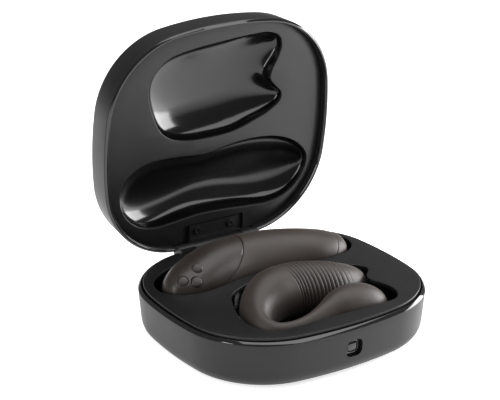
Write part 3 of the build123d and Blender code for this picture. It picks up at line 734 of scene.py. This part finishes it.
LID_REMOTE_WELL = [(-50.2, 21.6), (-49.3, 16.1), (-45.7, 11.3), (-39, 7.6), (-31, 6.6), (-18, 7.2),
                   (-6, 8.2), (4, 6.6), (14, 5.5), (24, 5.6), (33, 7), (41, 10), (47.6, 14.8),
                   (51.2, 20.4), (50.6, 27), (46.8, 33), (40, 38.2), (31, 40.6), (20, 40.2),
                   (6, 38.9), (-8, 38.4), (-22, 39.6), (-32, 40), (-40, 37.8), (-46.2, 32.6),
                   (-49.3, 27)]
LID_MASSAGER_WELL = [(-36.6, -27), (-35, -33.4), (-31, -38), (-26, -41.2), (-16, -43.4), (0, -44.9),
                     (17, -45.8), (26, -45.4), (31.6, -42.6), (33.2, -38), (31.6, -32.4),
                     (28.8, -27), (28, -22.6), (30.8, -18.8), (34.2, -15.2), (34.3, -11.5),
                     (28, -6.6), (19, -3.1), (9, -0.2), (-3, 0.6), (-15, 0), (-24, -2.4),
                     (-30, -7), (-33.4, -13.6), (-35.8, -20.4)]


def extent(outline):
    """The middle of a well's outline, and its size across and along."""
    xs, ys = zip(*outline)
    return Vector(((max(xs) + min(xs)) / 2, (max(ys) + min(ys)) / 2)), (max(xs) - min(xs), max(ys) - min(ys))


def well_ring(outline, grow, z, count=260):
    """Smooth closed line through a well's outline, grown on every side, all in millimetres."""
    middle, (width, depth) = extent(outline)
    grow_x = 1 + 2 * grow / width
    grow_y = 1 + 2 * grow / depth
    line = evenly([(x, y, 0) for x, y in smooth_path(outline, 14, closed=True)], count)
    return [Vector((middle.x + (p.x - middle.x) * grow_x, middle.y + (p.y - middle.y) * grow_y, z)) * MM
            for p in line]


def well_middle(outline, z):
    return Vector((*extent(outline)[0], z)) * MM


def well_tray(name, outline, inside, outside, material):
    """Thin bowl: inside levels from the floor to the lip, then outside levels down again, as (z, grow)."""
    inner = [well_ring(outline, grow, z) for z, grow in smooth_path(inside, 4)]
    outer = [well_ring(outline, grow, z) for z, grow in outside]
    floor = well_middle(outline, inside[0][0])
    under = well_middle(outline, outside[-1][0])
    start = [drawn_in(inner[0], floor, f) for f in (0.2, 0.45, 0.7, 0.88)]
    stop = [drawn_in(outer[-1], under, f) for f in (0.88, 0.7, 0.45, 0.2)]
    return skin_piece(name, start + inner + outer + stop, material, 60, [floor, under])


# The lid's round-bottomed wells, in millimetres: the height of the rim and the depth from there of the
# inside and of the outside, the wall between them, and the power of the oval that a section follows.
BOWL_INSIDE = (28.15, 10.55)
BOWL_OUTSIDE = (28.2, 11.4)
BOWL_WALL = 1.0
BOWL_CURVE = 2.3
BOWL_STEPS = 28
BOWL_END = radians(88.5)        # the last ring's place on the section's quarter turn


def bowl_rings(outline, grow, rim, depth):
    """Rings of a round-bottomed bowl from its rim to near its bottom, smoother the deeper they lie."""
    edge = well_ring(outline, grow, rim)
    middle = well_middle(outline, rim)
    rings = []
    for step in range(BOWL_STEPS):
        a = BOWL_END * step / (BOWL_STEPS - 1)
        for _ in range(2 * step):
            edge = [(b + c) / 2 for b, c in zip(edge[-1:] + edge, edge)]
            edge = [(b + c) / 2 for b, c in zip(edge, edge[1:] + edge[:1])]
        width = cos(a) ** (2 / BOWL_CURVE)
        sink = sin(a) ** (2 / BOWL_CURVE)
        rings.append(drawn_in(edge, middle, width, depth * MM * sink))
    return rings


def bowl_tray(name, outline, material, lift):
    """Thin bowl of the lid, inside and outside."""
    inner = bowl_rings(outline, 0, *BOWL_INSIDE)
    outer = bowl_rings(outline, BOWL_WALL, *BOWL_OUTSIDE)
    ends = [well_middle(outline, sum(BOWL_INSIDE)), well_middle(outline, sum(BOWL_OUTSIDE))]
    return skin_piece(name, inner[::-1] + outer, material, 60, ends, lift)


LIP_ROUND = 0.3                 # round of a well's mouth in its plate, in millimetres


def mouth_cutter(name, outline, face, thickness, lift=None):
    """Cutter for a well's mouth in a plate, flared at the plate's face into a small round.

    face is the height of the plate's show face and thickness runs away from it, signed, in millimetres."""
    sign = 1 if thickness > 0 else -1
    rings = [well_ring(outline, 0, face + thickness + sign)]
    for step in range(7):
        a = pi / 2 * step / 6
        rings.append(well_ring(outline, LIP_ROUND * (1 - cos(a)), face + sign * LIP_ROUND * (1 - sin(a))))
    rings.append(well_ring(outline, LIP_ROUND, face - sign))
    ends = [well_middle(outline, face + thickness + sign), well_middle(outline, face - sign)]
    return skin_piece(name, rings, ends=ends, lift=lift)


# ---- the base -------------------------------------------------------------------------------
# Heights of the push button and the charging socket, and places of the base's screws, in millimetres.
BUTTON_Z = 12.7
SOCKET_Z = 9.6
SCREW_PLACES = [(-44, -27.6), (44, -27.6), (-25.5, 42.0), (25.5, 42.0)]

# The notches round the hinge in the rims of the base and of the closed lid, and in the lid's liner, as
# two corners each, in millimetres. OUT is well past the case's walls.
GAP_HALF = 22.4
OUT = 60
BASE_GAP = ((-GAP_HALF, 44.5, 16), (GAP_HALF, OUT, 30))
LID_GAP = ((-GAP_HALF, 49, 22), (GAP_HALF, OUT, 27.8))
LINER_GAP = ((-GAP_HALF, 50.9, 20), (GAP_HALF, OUT, 27.8))

# Widths that the moulded shells' edges and the button bezel's edges are rounded by.
SHELL_ROUND = 0.18 * MM
BEZEL_ROUND = 0.12 * MM


def case_ring(name, section, edge, material, lift=None):
    """Polished ring swept along the case's outline; section is (inset, z) pairs in millimetres."""
    path = loop_object(name, case_outline(0, 0, 1.2))
    values = {"Edge round": edge}
    for label, (inset, z) in zip(("Outer foot", "Outer top", "Inner top", "Inner foot"), section):
        values[label] = (-inset * MM, -z * MM, 0)
    ring = run_group(path, ring_tree(material), values)
    flat = [v.co.copy() for v in ring.data.vertices]
    if max(p.x for p in flat) > HALF_WIDTH + 0.2 * MM or min(p.z for p in flat) < 0:
        raise RuntimeError(name + " was swept the wrong way round")
    if lift is not None:
        ring.data.vertices.foreach_set("co", [c for p in flat for c in lift(p)])
        ring.data.update()
    return ring


class CASE_OT_base_shell(bpy.types.Operator):
    """Moulded lower shell with its button recess, socket slot, hinge notch and screw holes"""
    bl_idname = "charging_case.base_shell"
    bl_label = "Base shell"

    def execute(self, context):
        outside = [(0.4, 8.2), (0.62, 7.1), (1.25, 5.4), (2.6, 3.55), (4.4, 2.15), (6.0, 1.5), (8.0, 1.15)]
        rim = [(12.5, 0.77), (17.0, 0.39), (21.2, 0.03), (21.45, 0.04), (21.6, 0.18)]
        inside = [(21.6, 1.75), (21.4, 1.95), (14.0, 2.7), (8.0, 3.3), (5.4, 4.0), (3.0, 5.6), (2.2, 7.0)]
        levels = smooth_path(outside, 5) + rim + inside
        shell = case_skin("base_shell_moulding", levels, material_named("shell"))
        cutters = [bar_along_y("cut_button", stadium(8.2, 7.8, 2.6), BUTTON_Z, [(-OUT, 0), (-46, 0)]),
                   bar_along_y("cut_socket", stadium(9.24, 3.5, 1.74), SOCKET_Z, [(46, 0), (OUT, 0)]),
                   block("cut_hinge", *BASE_GAP),
                   prism("cut_foot", case_outline(15.9, 0), -2, 0.9)]
        for x, y in SCREW_PLACES:
            low, high = [Vector((x, y, z)) * MM for z in (-1, 2)]
            cutters.append(round_bar("cut_screw", 2.6 * MM, low, high))
        carve(shell, cutters)
        soften(shell, SHELL_ROUND)
        finish_piece(shell, "base", "base_shell")
        return {"FINISHED"}


class CASE_OT_rings(bpy.types.Operator):
    """Polished chamfered rings on the rims of the base and the lid"""
    bl_idname = "charging_case.rings"
    bl_label = "Polished rings"

    def execute(self, context):
        edge = 0.09 * MM
        low = case_ring("base_ring_polished", [(0, 21.6), (1.1, 22.9), (1.5, 22.9), (1.9, 21.6)], edge,
                        material_named("ring"))
        carve(low, [block("cut_hinge", *BASE_GAP)])
        finish_piece(low, "base", "base_trim_ring")
        high = case_ring("lid_ring_polished", [(0, 24.1), (0.9, 23.2), (1.5, 23.2), (1.9, 24.1)], edge,
                         material_named("ring"), swing_open)
        carve(high, [block("cut_hinge", *LID_GAP, swing_open), thumb_cutter()])
        finish_piece(high, "lid", "lid_trim_ring")
        return {"FINISHED"}


def thumb_cutter():
    """Bar on edge that cuts the thumb's bevel into the lid's front rim."""
    middle = Vector((0, -HALF_DEPTH - 0.35 * MM, 23.2 * MM))
    tilt = Matrix.Rotation(radians(45), 3, "X")
    corner = Vector((13.8, 1.2, 1.2))
    return block("cut_thumb", -corner, corner, lambda p: swing_open(middle + tilt @ p))


class CASE_OT_deck(bpy.types.Operator):
    """Raised deck plate of the base with the mouths of its two wells"""
    bl_idname = "charging_case.deck"
    bl_label = "Deck plate"

    def execute(self, context):
        top = DECK_TOP / MM
        round_edge = context.scene.charging_case.edge_round / MM
        levels = [(22.4, 3.62), (19.4, 3.6), (19.4, 2.4), (22.3, 2.4), (22.4, 2.3)]
        for step in range(5):
            a = pi / 2 * step / 4
            levels.append((top - round_edge * (1 - sin(a)), 2.3 + round_edge * (1 - cos(a))))
        deck = case_skin("deck_plate", levels, material_named("deck"))
        carve(deck, [mouth_cutter("cut_rear", REMOTE_WELL, top, -1.6),
                     mouth_cutter("cut_front", MASSAGER_WELL, top, -1.6),
                     block("cut_hinge", *BASE_GAP)])
        finish_piece(deck, "base", "base_deck")
        return {"FINISHED"}


class CASE_OT_base_trays(bpy.types.Operator):
    """Glossy moulded wells of the base"""
    bl_idname = "charging_case.base_trays"
    bl_label = "Base wells"

    def execute(self, context):
        inside = [(9.8, -5.6), (10.4, -3.5), (12, -1.7), (15, -0.5), (19, 0.0), (22.3, 0.12)]
        outside = [(22.3, 1.0), (20, 1.0), (15, 0.5), (12, -0.5), (10, -1.8), (8.8, -3.6)]
        for name, outline, node in (("rear_well_tray", REMOTE_WELL, "base_well_rear"),
                                    ("front_well_tray", MASSAGER_WELL, "base_well_front")):
            tray = well_tray(name, outline, inside, outside, material_named("tray"))
            finish_piece(tray, "base", node)
        return {"FINISHED"}


class CASE_OT_foot(bpy.types.Operator):
    """Rubber foot pad with moulded grooves on the underside"""
    bl_idname = "charging_case.foot"
    bl_label = "Foot pad"

    def execute(self, context):
        levels = [(0.9, 16.0), (0.25, 16.0), (0.08, 16.06), (0, 16.25), (0, 18.0), (0.25, 18.2),
                  (0.25, 18.8), (0, 19.0)]
        pad = case_skin("rubber_foot_pad", levels, material_named("rubber"))
        finish_piece(pad, "base", "foot_pad")
        return {"FINISHED"}


class CASE_OT_front_button(bpy.types.Operator):
    """Small push button in its polished bezel on the front wall"""
    bl_idname = "charging_case.front_button"
    bl_label = "Front button"

    def execute(self, context):
        front, back = [corner.y / MM for corner in node_box("front_bezel")]
        bezel = bar_along_y("button_bezel", stadium(8.1, 7.7, 2.55), BUTTON_Z,
                            [(front, 0.5), (front + 0.25, 0), (back, 0)], material_named("ring"))
        carve(bezel, [bar_along_y("cut_hole", stadium(5.4, 4.6, 1.6), BUTTON_Z, [(-OUT, 0), (-45, 0)])])
        soften(bezel, BEZEL_ROUND)
        finish_piece(bezel, "base", "front_bezel")
        front, back = [corner.y / MM for corner in node_box("front_button")]
        stem = front + 2.2
        levels = [(front, 1.3), (front + 0.05, 0.8), (front + 0.18, 0.35), (front + 0.45, 0), (stem, 0),
                  (stem, 1.4), (back, 1.4)]
        button = bar_along_y("push_button", stadium(5.0, 4.2, 1.4), BUTTON_Z, levels, material_named("ring"))
        finish_piece(button, "front_button", "front_button")
        return {"FINISHED"}


def screws(name, metal, places, sizes, turn, edge):
    """Socket screws at some places, turned about x, from their head, shank and socket in millimetres."""
    labels = ("Head radius", "Head height", "Shank radius", "Shank length", "Socket radius")
    values = {label: size * MM for label, size in zip(labels, sizes)}
    piece = run_group(point_object(name, places), stud_tree(metal + " screws", material_named(metal)),
                      {**values, "Turn": (turn, 0, 0)})
    soften(piece, edge)
    return piece


class CASE_OT_fasteners(bpy.types.Operator):
    """Socket-headed screws under the base and in the hinge leaf"""
    bl_idname = "charging_case.fasteners"
    bl_label = "Screws"

    def execute(self, context):
        places = [Vector((x, y, 1.6)) * MM for x, y in SCREW_PLACES]
        piece = screws("case_screws", "steel", places, (2.4, 1.4, 1.0, 9.7, 1.1), 0, 0.12 * MM)
        finish_piece(piece, "base", "base_screws")
        places = [swing_open(Vector((x, 46.4, 26.05)) * MM) for x in (-9, 9)]
        piece = screws("hinge_screws", "black_steel", places, (1.7, 0.7, 0.8, 4.6, 0.8), -OPEN_ANGLE,
                       0.08 * MM)
        finish_piece(piece, "lid", "leaf_screws")
        return {"FINISHED"}


# ---- the lid --------------------------------------------------------------------------------
class CASE_OT_lid_shell(bpy.types.Operator):
    """Domed outer shell of the lid"""
    bl_idname = "charging_case.lid_shell"
    bl_label = "Lid shell"

    def execute(self, context):
        inside = [(39.9, 12.0), (39.6, 8.0), (38.6, 4.6), (36.0, 2.6), (24.3, 1.95), (24.1, 1.75)]
        wall = [(24.1, 0.18), (24.25, 0.04), (24.5, 0.02), (30.0, 0.42)]
        dome = [(36.0, 0.85), (37.3, 1.2), (38.6, 2.0), (39.7, 3.25), (40.5, 5.0), (41.05, 7.0), (41.4, 9.6)]
        levels = inside + wall + smooth_path(dome, 5)
        shell = case_skin("lid_shell_moulding", levels, material_named("shell"), swing_open)
        carve(shell, [block("cut_hinge", *LID_GAP, swing_open), thumb_cutter()])
        soften(shell, SHELL_ROUND)
        finish_piece(shell, "lid", "lid_shell")
        return {"FINISHED"}


LINER_FACE = 26.7               # height of the liner's show face on the closed lid, in millimetres


class CASE_OT_liner(bpy.types.Operator):
    """Recessed liner of the lid with the mouths of its wells and the recess of the hinge leaf"""
    bl_idname = "charging_case.liner"
    bl_label = "Lid liner"

    def execute(self, context):
        levels = [(28.1, 2.25), (27.0, 2.2), (26.78, 2.26), (LINER_FACE, 2.5)]
        liner = case_skin("lid_liner_plate", levels, material_named("deck"), swing_open)
        recess = [Vector((x, y + 52.6, 0)) * MM for x, y in stadium(32.8, 20, 1.6)]
        carve(liner, [mouth_cutter("cut_rear", LID_REMOTE_WELL, LINER_FACE, 1.4, swing_open),
                      mouth_cutter("cut_front", LID_MASSAGER_WELL, LINER_FACE, 1.4, swing_open),
                      block("cut_gap", *LINER_GAP, swing_open),
                      prism("cut_leaf", recess, 25.7, 27.6, swing_open)])
        finish_piece(liner, "lid", "lid_liner")
        return {"FINISHED"}


class CASE_OT_lid_trays(bpy.types.Operator):
    """Glossy moulded wells of the lid"""
    bl_idname = "charging_case.lid_trays"
    bl_label = "Lid wells"

    def execute(self, context):
        for name, outline, node in (("lid_rear_tray", LID_REMOTE_WELL, "lid_well_rear"),
                                    ("lid_front_tray", LID_MASSAGER_WELL, "lid_well_front")):
            tray = bowl_tray(name, outline, material_named("tray"), swing_open)
            finish_piece(tray, "lid", node)
        return {"FINISHED"}


# ---- the remote -----------------------------------------------------------------------------
# Each station is (x, centre y, centre z, half width, half height) in millimetres.
REMOTE_STATIONS = [(-49.0, 18.0, 23.4, 1.6, 1.4), (-47.6, 18.1, 23.3, 5.0, 4.0),
                   (-44.5, 18.7, 23.0, 8.2, 6.8), (-38.0, 20.4, 22.8, 11.4, 9.8),
                   (-30.0, 22.4, 23.0, 12.6, 12.0), (-20.0, 24.2, 24.0, 12.6, 13.0),
                   (-8.0, 25.4, 24.2, 12.2, 13.0), (6.0, 25.2, 23.8, 12.2, 12.9),
                   (20.0, 23.8, 22.9, 12.4, 12.2), (32.0, 21.6, 22.3, 12.0, 10.8),
                   (41.0, 20.6, 22.1, 10.0, 8.4), (46.4, 20.2, 22.4, 6.4, 5.2),
                   (48.6, 20.1, 22.5, 2.0, 1.7)]

# In the x-z plane, the housing meets the sleeve along an arc, and the sleeve meets the end cap along a
# slanted line through a place.
SEAM_CENTRE = (-48.7, 67.2)
SEAM_RADIUS = 51.9
CAP_PLACE = (36.9, 22.3)
CAP_SLANT = radians(36)

# The three keys point along one normal, each in a blind hole with a little play round it.
KEY_NORMAL = Vector((-0.36, -0.60, 0.715)).normalized()
KEY_RADIUS = 2.4
KEY_PLAY = 0.1
KEY_BED = 2.3
KEYS = [("remote_key_upper", (-34.3, 15.2, 32.1)), ("remote_key_left", (-42.6, 13.6, 28.6)),
        ("remote_key_lower", (-37.5, 10.8, 28.2))]


class Capsule:
    """Long body of oval sections through stations of x, y, z, half width and half height."""

    def __init__(self, stations, steps=16):
        self.rows = smooth_path(stations, steps)
        self.last = len(self.rows) - 1

    def row(self, t):
        k = min(int(t), self.last - 1)
        f = t - k
        return tuple(a + (b - a) * f for a, b in zip(self.rows[k], self.rows[k + 1]))

    def point(self, t, angle, shrink=0.0):
        x, y, z, half_y, half_z = self.row(t)
        return Vector((x, y + (half_y - shrink) * cos(angle), z + (half_z - shrink) * sin(angle)))

    def where(self, angle, beyond, low, high):
        """Row at which the line of surface points at angle passes a joint."""
        for _ in range(30):
            middle = (low + high) / 2
            if beyond(self.point(middle, angle)):
                high = middle
            else:
                low = middle
        return (low + high) / 2


SHELL_ROWS = 72                 # steps along one shell of the remote


def beyond_seam(p):
    """Whether a point of the remote lies past the arc between the housing and the sleeve."""
    return (p.x - SEAM_CENTRE[0]) ** 2 + (p.z - SEAM_CENTRE[1]) ** 2 > SEAM_RADIUS ** 2


def beyond_cap(p):
    """Whether a point of the remote lies past the slanted joint of the end cap."""
    return (p.x - CAP_PLACE[0]) * cos(CAP_SLANT) - (p.z - CAP_PLACE[1]) * sin(CAP_SLANT) > 0


def remote_shell(name, body, start, stop, material, around=112):
    """One shell of the remote between two joints, rounded in at each joint and closed inside.

    start and stop are tests for the joint lines, or None at a closed end. lips are the steps of the
    rounding, as the gap from the joint and the depth below the skin."""
    seam = bpy.context.scene.case_devices.seam_width / MM / 2
    lips = [(seam, 1.0), (seam, 0.3), (seam * 1.25, 0.1), (seam * 2.2, 0.0)]
    columns = []
    for i in range(around):
        angle = 2 * pi * i / around
        low = body.where(angle, start, 0, body.last) if start else 0.0
        high = body.where(angle, stop, 0, body.last) if stop else float(body.last)
        step = body.row(body.last / 2)[0] - body.row(body.last / 2 - 1)[0]
        column = []
        if start:
            column += [body.point(low + gap / step, angle, sunk) for gap, sunk in lips]
            low += lips[-1][0] / step
        if stop:
            high -= lips[-1][0] / step
        for k in range(1, SHELL_ROWS):
            column.append(body.point(low + (high - low) * k / SHELL_ROWS, angle))
        if not start:
            column = [body.point(0.0, angle)] + column
        if stop:
            column += [body.point(high + (lips[-1][0] - gap) / step, angle, sunk)
                       for gap, sunk in reversed(lips)]
        else:
            column.append(body.point(float(body.last), angle))
        columns.append([p * MM for p in column])
    rings = [[column[k] for column in columns] for k in range(len(columns[0]))]
    return skin_piece(name, rings, material, 60)


class CASE_OT_remote(bpy.types.Operator):
    """Soft-touch shells of the hand remote, joined along two lines, with three domed keys"""
    bl_idname = "charging_case.remote"
    bl_label = "Remote"

    def execute(self, context):
        body = Capsule(REMOTE_STATIONS)
        paint = material_named("remote")
        housing = remote_shell("remote_key_housing", body, None, beyond_seam, material_named("housing"))
        sleeve = remote_shell("remote_middle_sleeve", body, beyond_seam, beyond_cap, paint)
        cap = remote_shell("remote_end_shell", body, beyond_cap, None, paint)
        holes = []
        for _, place in KEYS:
            low, high = [(Vector(place) + KEY_NORMAL * rise) * MM for rise in (-KEY_BED, 4)]
            holes.append(round_bar("cut_key", (KEY_RADIUS + KEY_PLAY) * MM, low, high, steps=48))
        carve(housing, holes)
        for piece, node in ((housing, "remote_housing"), (sleeve, "remote_sleeve"), (cap, "remote_end_cap")):
            finish_piece(piece, "remote", node)
        for node, place in KEYS:
            key = domed_key(node + "_dome", Vector(place), material_named("housing"))
            finish_piece(key, node, node)
        return {"FINISHED"}


def domed_key(name, place, material, steps=40):
    """Round key with a softly domed top that stands proud of the shell."""
    turn = KEY_NORMAL.to_track_quat("Z", "Y").to_matrix()
    profile = [(0.98, -1.5), (1, -1.3), (1, -0.2), (0.97, 0.02), (0.88, 0.22), (0.74, 0.35), (0.52, 0.44),
               (0.27, 0.49)]
    rings = []
    for share, height in profile:
        foot = place + KEY_NORMAL * height
        rings.append([(foot + turn @ p) * MM for p in circle(KEY_RADIUS * share, steps)])
    ends = [(place - KEY_NORMAL * 1.5) * MM, (place + KEY_NORMAL * 0.5) * MM]
    return skin_piece(name, rings, material, 50, ends)


# ---- the massager ---------------------------------------------------------------------------
# Each station is (x, y, z, half width, half height) in millimetres, from the rear arm's tip
# round the bend to the front arm's tip.
MASSAGER_STATIONS = [(37.2, -10.4, 18.6, 1.5, 1.6), (35.6, -10.7, 18.8, 3.8, 4.4),
                     (31.0, -11.5, 19.6, 6.4, 7.4), (21.0, -13.2, 21.2, 9.6, 10.4),
                     (9.0, -12.0, 22.8, 10.5, 11.7), (-4.0, -10.6, 23.6, 10.8, 12.3),
                     (-15.0, -12.2, 23.6, 10.4, 12.1), (-23.0, -16.6, 21.8, 8.8, 11.2),
                     (-28.2, -23.0, 20.0, 6.4, 9.4), (-30.2, -30.0, 18.4, 4.9, 8.0),
                     (-27.6, -35.9, 17.4, 4.1, 7.2), (-21.5, -38.2, 17.2, 3.5, 7.0),
                     (-12.0, -38.0, 18.0, 3.7, 7.1), (-2.5, -36.2, 19.4, 5.2, 8.2),
                     (6.0, -34.4, 20.6, 7.9, 9.6), (15.0, -33.6, 20.6, 9.0, 10.0),
                     (23.0, -33.7, 19.6, 8.4, 8.7), (28.8, -34.0, 18.4, 5.6, 5.8),
                     (31.8, -34.2, 18.0, 1.7, 1.7)]


BEND_RUN = 46.0                 # way along the skin from the rear arm's tip to the first rib at the bend


def massager_skin(name, steps=44, around=104):
    """Closed oval-section skin along the folded path, with "along" and "around" on every point."""
    rows = smooth_path(MASSAGER_STATIONS, steps)
    rings = []
    runs = []
    travelled = 0.0
    for k, (x, y, z, half_w, half_h) in enumerate(rows):
        before = rows[max(k - 1, 0)]
        after = rows[min(k + 1, len(rows) - 1)]
        along = Vector((after[0] - before[0], after[1] - before[1])).normalized()
        travelled += (Vector(rows[k][:2]) - Vector(before[:2])).length
        ring = []
        for i in range(around):
            a = 2 * pi * i / around
            across = half_w * cos(a)
            ring.append(Vector((x - along.y * across, y + along.x * across, z + half_h * sin(a))) * MM)
        rings.append(ring)
        runs.append(travelled)
    points, faces = bridge(rings)
    mesh = bpy.data.meshes.new(name)
    mesh.from_pydata([tuple(p) for p in points], [], faces)
    distance = mesh.attributes.new("along", "FLOAT", "POINT")
    turn = mesh.attributes.new("around", "FLOAT", "POINT")
    run_values = [(BEND_RUN - r) * MM for r in runs for _ in range(around)]
    run_values += [BEND_RUN * MM, (BEND_RUN - runs[-1]) * MM]
    turns = [i / around if i <= around / 2 else i / around - 1 for i in range(around)]
    turn_values = turns * len(runs) + [0.5, 0.5]
    distance.data.foreach_set("value", run_values)
    turn.data.foreach_set("value", turn_values)
    work = bmesh.new()
    work.from_mesh(mesh)
    bmesh.ops.recalc_face_normals(work, faces=work.faces)
    work.to_mesh(mesh)
    work.free()
    mesh.shade_smooth()
    return link(bpy.data.objects.new(name, mesh))


class CASE_OT_massager(bpy.types.Operator):
    """Folded silicone body of the massager with the fan of ribs inside its bend"""
    bl_idname = "charging_case.massager"
    bl_label = "Massager"

    def execute(self, context):
        device = context.scene.case_devices
        skin = massager_skin("massager_silicone_skin")
        skin = run_group(skin, rib_tree(material_named("skin")),
                         {"Start": 0.0, "Pitch": device.rib_pitch, "Count": device.rib_count,
                          "Depth": device.rib_depth, "Middle": 0.13, "Reach": 0.19, "Fade": 11.0,
                          "Lean": 22 * MM})
        skin.data.shade_smooth()
        finish_piece(skin, "massager", "massager_skin")
        return {"FINISHED"}


# ---- inner pieces ---------------------------------------------------------------------------
class CASE_OT_inner_finishes(bpy.types.Operator):
    """Finishes of the hinge, the electronics and the other pieces that keep their engineered shape"""
    bl_idname = "charging_case.inner_finishes"
    bl_label = "Inner pieces"

    def execute(self, context):
        finishes = {
            "shell": ["hinge_block", "hinge_leaf"],
            "steel": ["hinge_pin", "usb_socket", "flex_spine", "rear_motor", "front_motor", "rear_weight",
                      "front_weight"],
            "nickel": ["base_magnets", "lid_magnets"],
            "gold": ["charge_pins_rear", "charge_pins_front", "remote_contacts", "massager_contacts"],
            "board": ["main_board", "charge_board", "button_board", "remote_board", "remote_switches",
                      "massager_board"],
            "foil": ["base_battery", "remote_battery", "massager_battery"],
            "nylon": ["front_switch", "rear_core", "front_core"],
        }
        for key, nodes in finishes.items():
            for node in nodes:
                obj = frame["nodes"][node]
                for spot in obj.material_slots:
                    spot.material = material_named(key)
                if not obj.material_slots:
                    obj.data.materials.append(material_named(key))
        return {"FINISHED"}


# ---- the stage ------------------------------------------------------------------------------
class CASE_OT_stage(bpy.types.Operator):
    """Pale floor, white studio all around, soft lamps and the camera"""
    bl_idname = "charging_case.stage"
    bl_label = "Studio"

    def execute(self, context):
        scene = context.scene
        studio = scene.case_studio
        floor = mesh_piece("studio_floor", [(-14, -14, 0), (14, -14, 0), (14, 14, 0), (-14, 14, 0)],
                           [(0, 1, 2, 3)], studio_card("lit_white_card", studio.floor_colour, 0.78))
        world = bpy.data.worlds.new("white_studio")
        world.use_nodes = True
        world.node_tree.nodes.clear()
        sky = add(world.node_tree, "ShaderNodeBackground", Color=(1, 1, 1, 1), Strength=studio.sky_strength)
        out = add(world.node_tree, "ShaderNodeOutputWorld")
        world.node_tree.links.new(sky.outputs[0], out.inputs["Surface"])
        scene.world = world
        self.lamp("soft_top", (0.25, -0.1, 1.1), (0.1, 0, 0), (1.3, 1.3), 19)
        self.lamp("strip_left", (-0.9, -0.1, 0.5), (0, 0, 0.06), (0.2, 0.8), 5)
        self.lamp("soft_right", (0.42, -0.1, 0.12), (0, 0.03, 0.08), (0.32, 0.22), 3.0)
        self.camera(scene, studio.lens)
        scene.view_settings.view_transform = "Standard"
        return {"FINISHED"}

    def lamp(self, name, place, target, size, power):
        data = bpy.data.lights.new(name, "AREA")
        data.shape = "RECTANGLE"
        data.size, data.size_y = size
        data.energy = power
        lamp = link(bpy.data.objects.new(name, data))
        lamp.visible_camera = False
        lamp.location = place
        lamp.rotation_euler = (Vector(target) - Vector(place)).to_track_quat("-Z", "Y").to_euler()

    def camera(self, scene, lens):
        azimuth = radians(-33.61)
        elevation = radians(21.22)
        distance = 713.8 * MM
        target = Vector((-8.03, 13.12, 59.15)) * MM
        back = Vector((sin(azimuth) * cos(elevation), -cos(azimuth) * cos(elevation), sin(elevation)))
        data = bpy.data.cameras.new("studio_camera")
        data.lens = lens
        data.sensor_width = 36
        data.clip_start = 0.05
        camera = link(bpy.data.objects.new("studio_camera", data))
        camera.location = target + back * distance
        camera.rotation_euler = (-back).to_track_quat("-Z", "Y").to_euler()
        scene.camera = camera


# ---- add-on ---------------------------------------------------------------------------------
OPERATORS = (CASE_OT_stage, CASE_OT_base_shell, CASE_OT_rings, CASE_OT_deck, CASE_OT_base_trays,
             CASE_OT_foot, CASE_OT_front_button, CASE_OT_fasteners, CASE_OT_lid_shell, CASE_OT_liner,
             CASE_OT_lid_trays, CASE_OT_remote, CASE_OT_massager, CASE_OT_inner_finishes)


class CASE_PT_panel(bpy.types.Panel):
    """Lists the steps that build the case"""
    bl_label = "Charging Case"
    bl_idname = "CASE_PT_panel"
    bl_space_type = "VIEW_3D"
    bl_region_type = "UI"
    bl_category = "Charging Case"

    def draw(self, context):
        for group in (context.scene.charging_case, context.scene.case_devices, context.scene.case_studio):
            box = self.layout.box()
            for key in group.bl_rna.properties.keys():
                if key not in ("rna_type", "name"):
                    box.prop(group, key)
        for operator in OPERATORS:
            self.layout.operator(operator.bl_idname)


CLASSES = (CaseSettings, DeviceSettings, StudioSettings) + OPERATORS + (CASE_PT_panel,)


def register():
    for cls in CLASSES:
        bpy.utils.register_class(cls)
    bpy.types.Scene.charging_case = PointerProperty(type=CaseSettings)
    bpy.types.Scene.case_devices = PointerProperty(type=DeviceSettings)
    bpy.types.Scene.case_studio = PointerProperty(type=StudioSettings)


def unregister():
    del bpy.types.Scene.charging_case
    del bpy.types.Scene.case_devices
    del bpy.types.Scene.case_studio
    for cls in reversed(CLASSES):
        bpy.utils.unregister_class(cls)


def main():
    register()
    for operator in OPERATORS:
        group, step = operator.bl_idname.split(".")
        getattr(getattr(bpy.ops, group), step)()


if __name__ == "__main__":
    main()
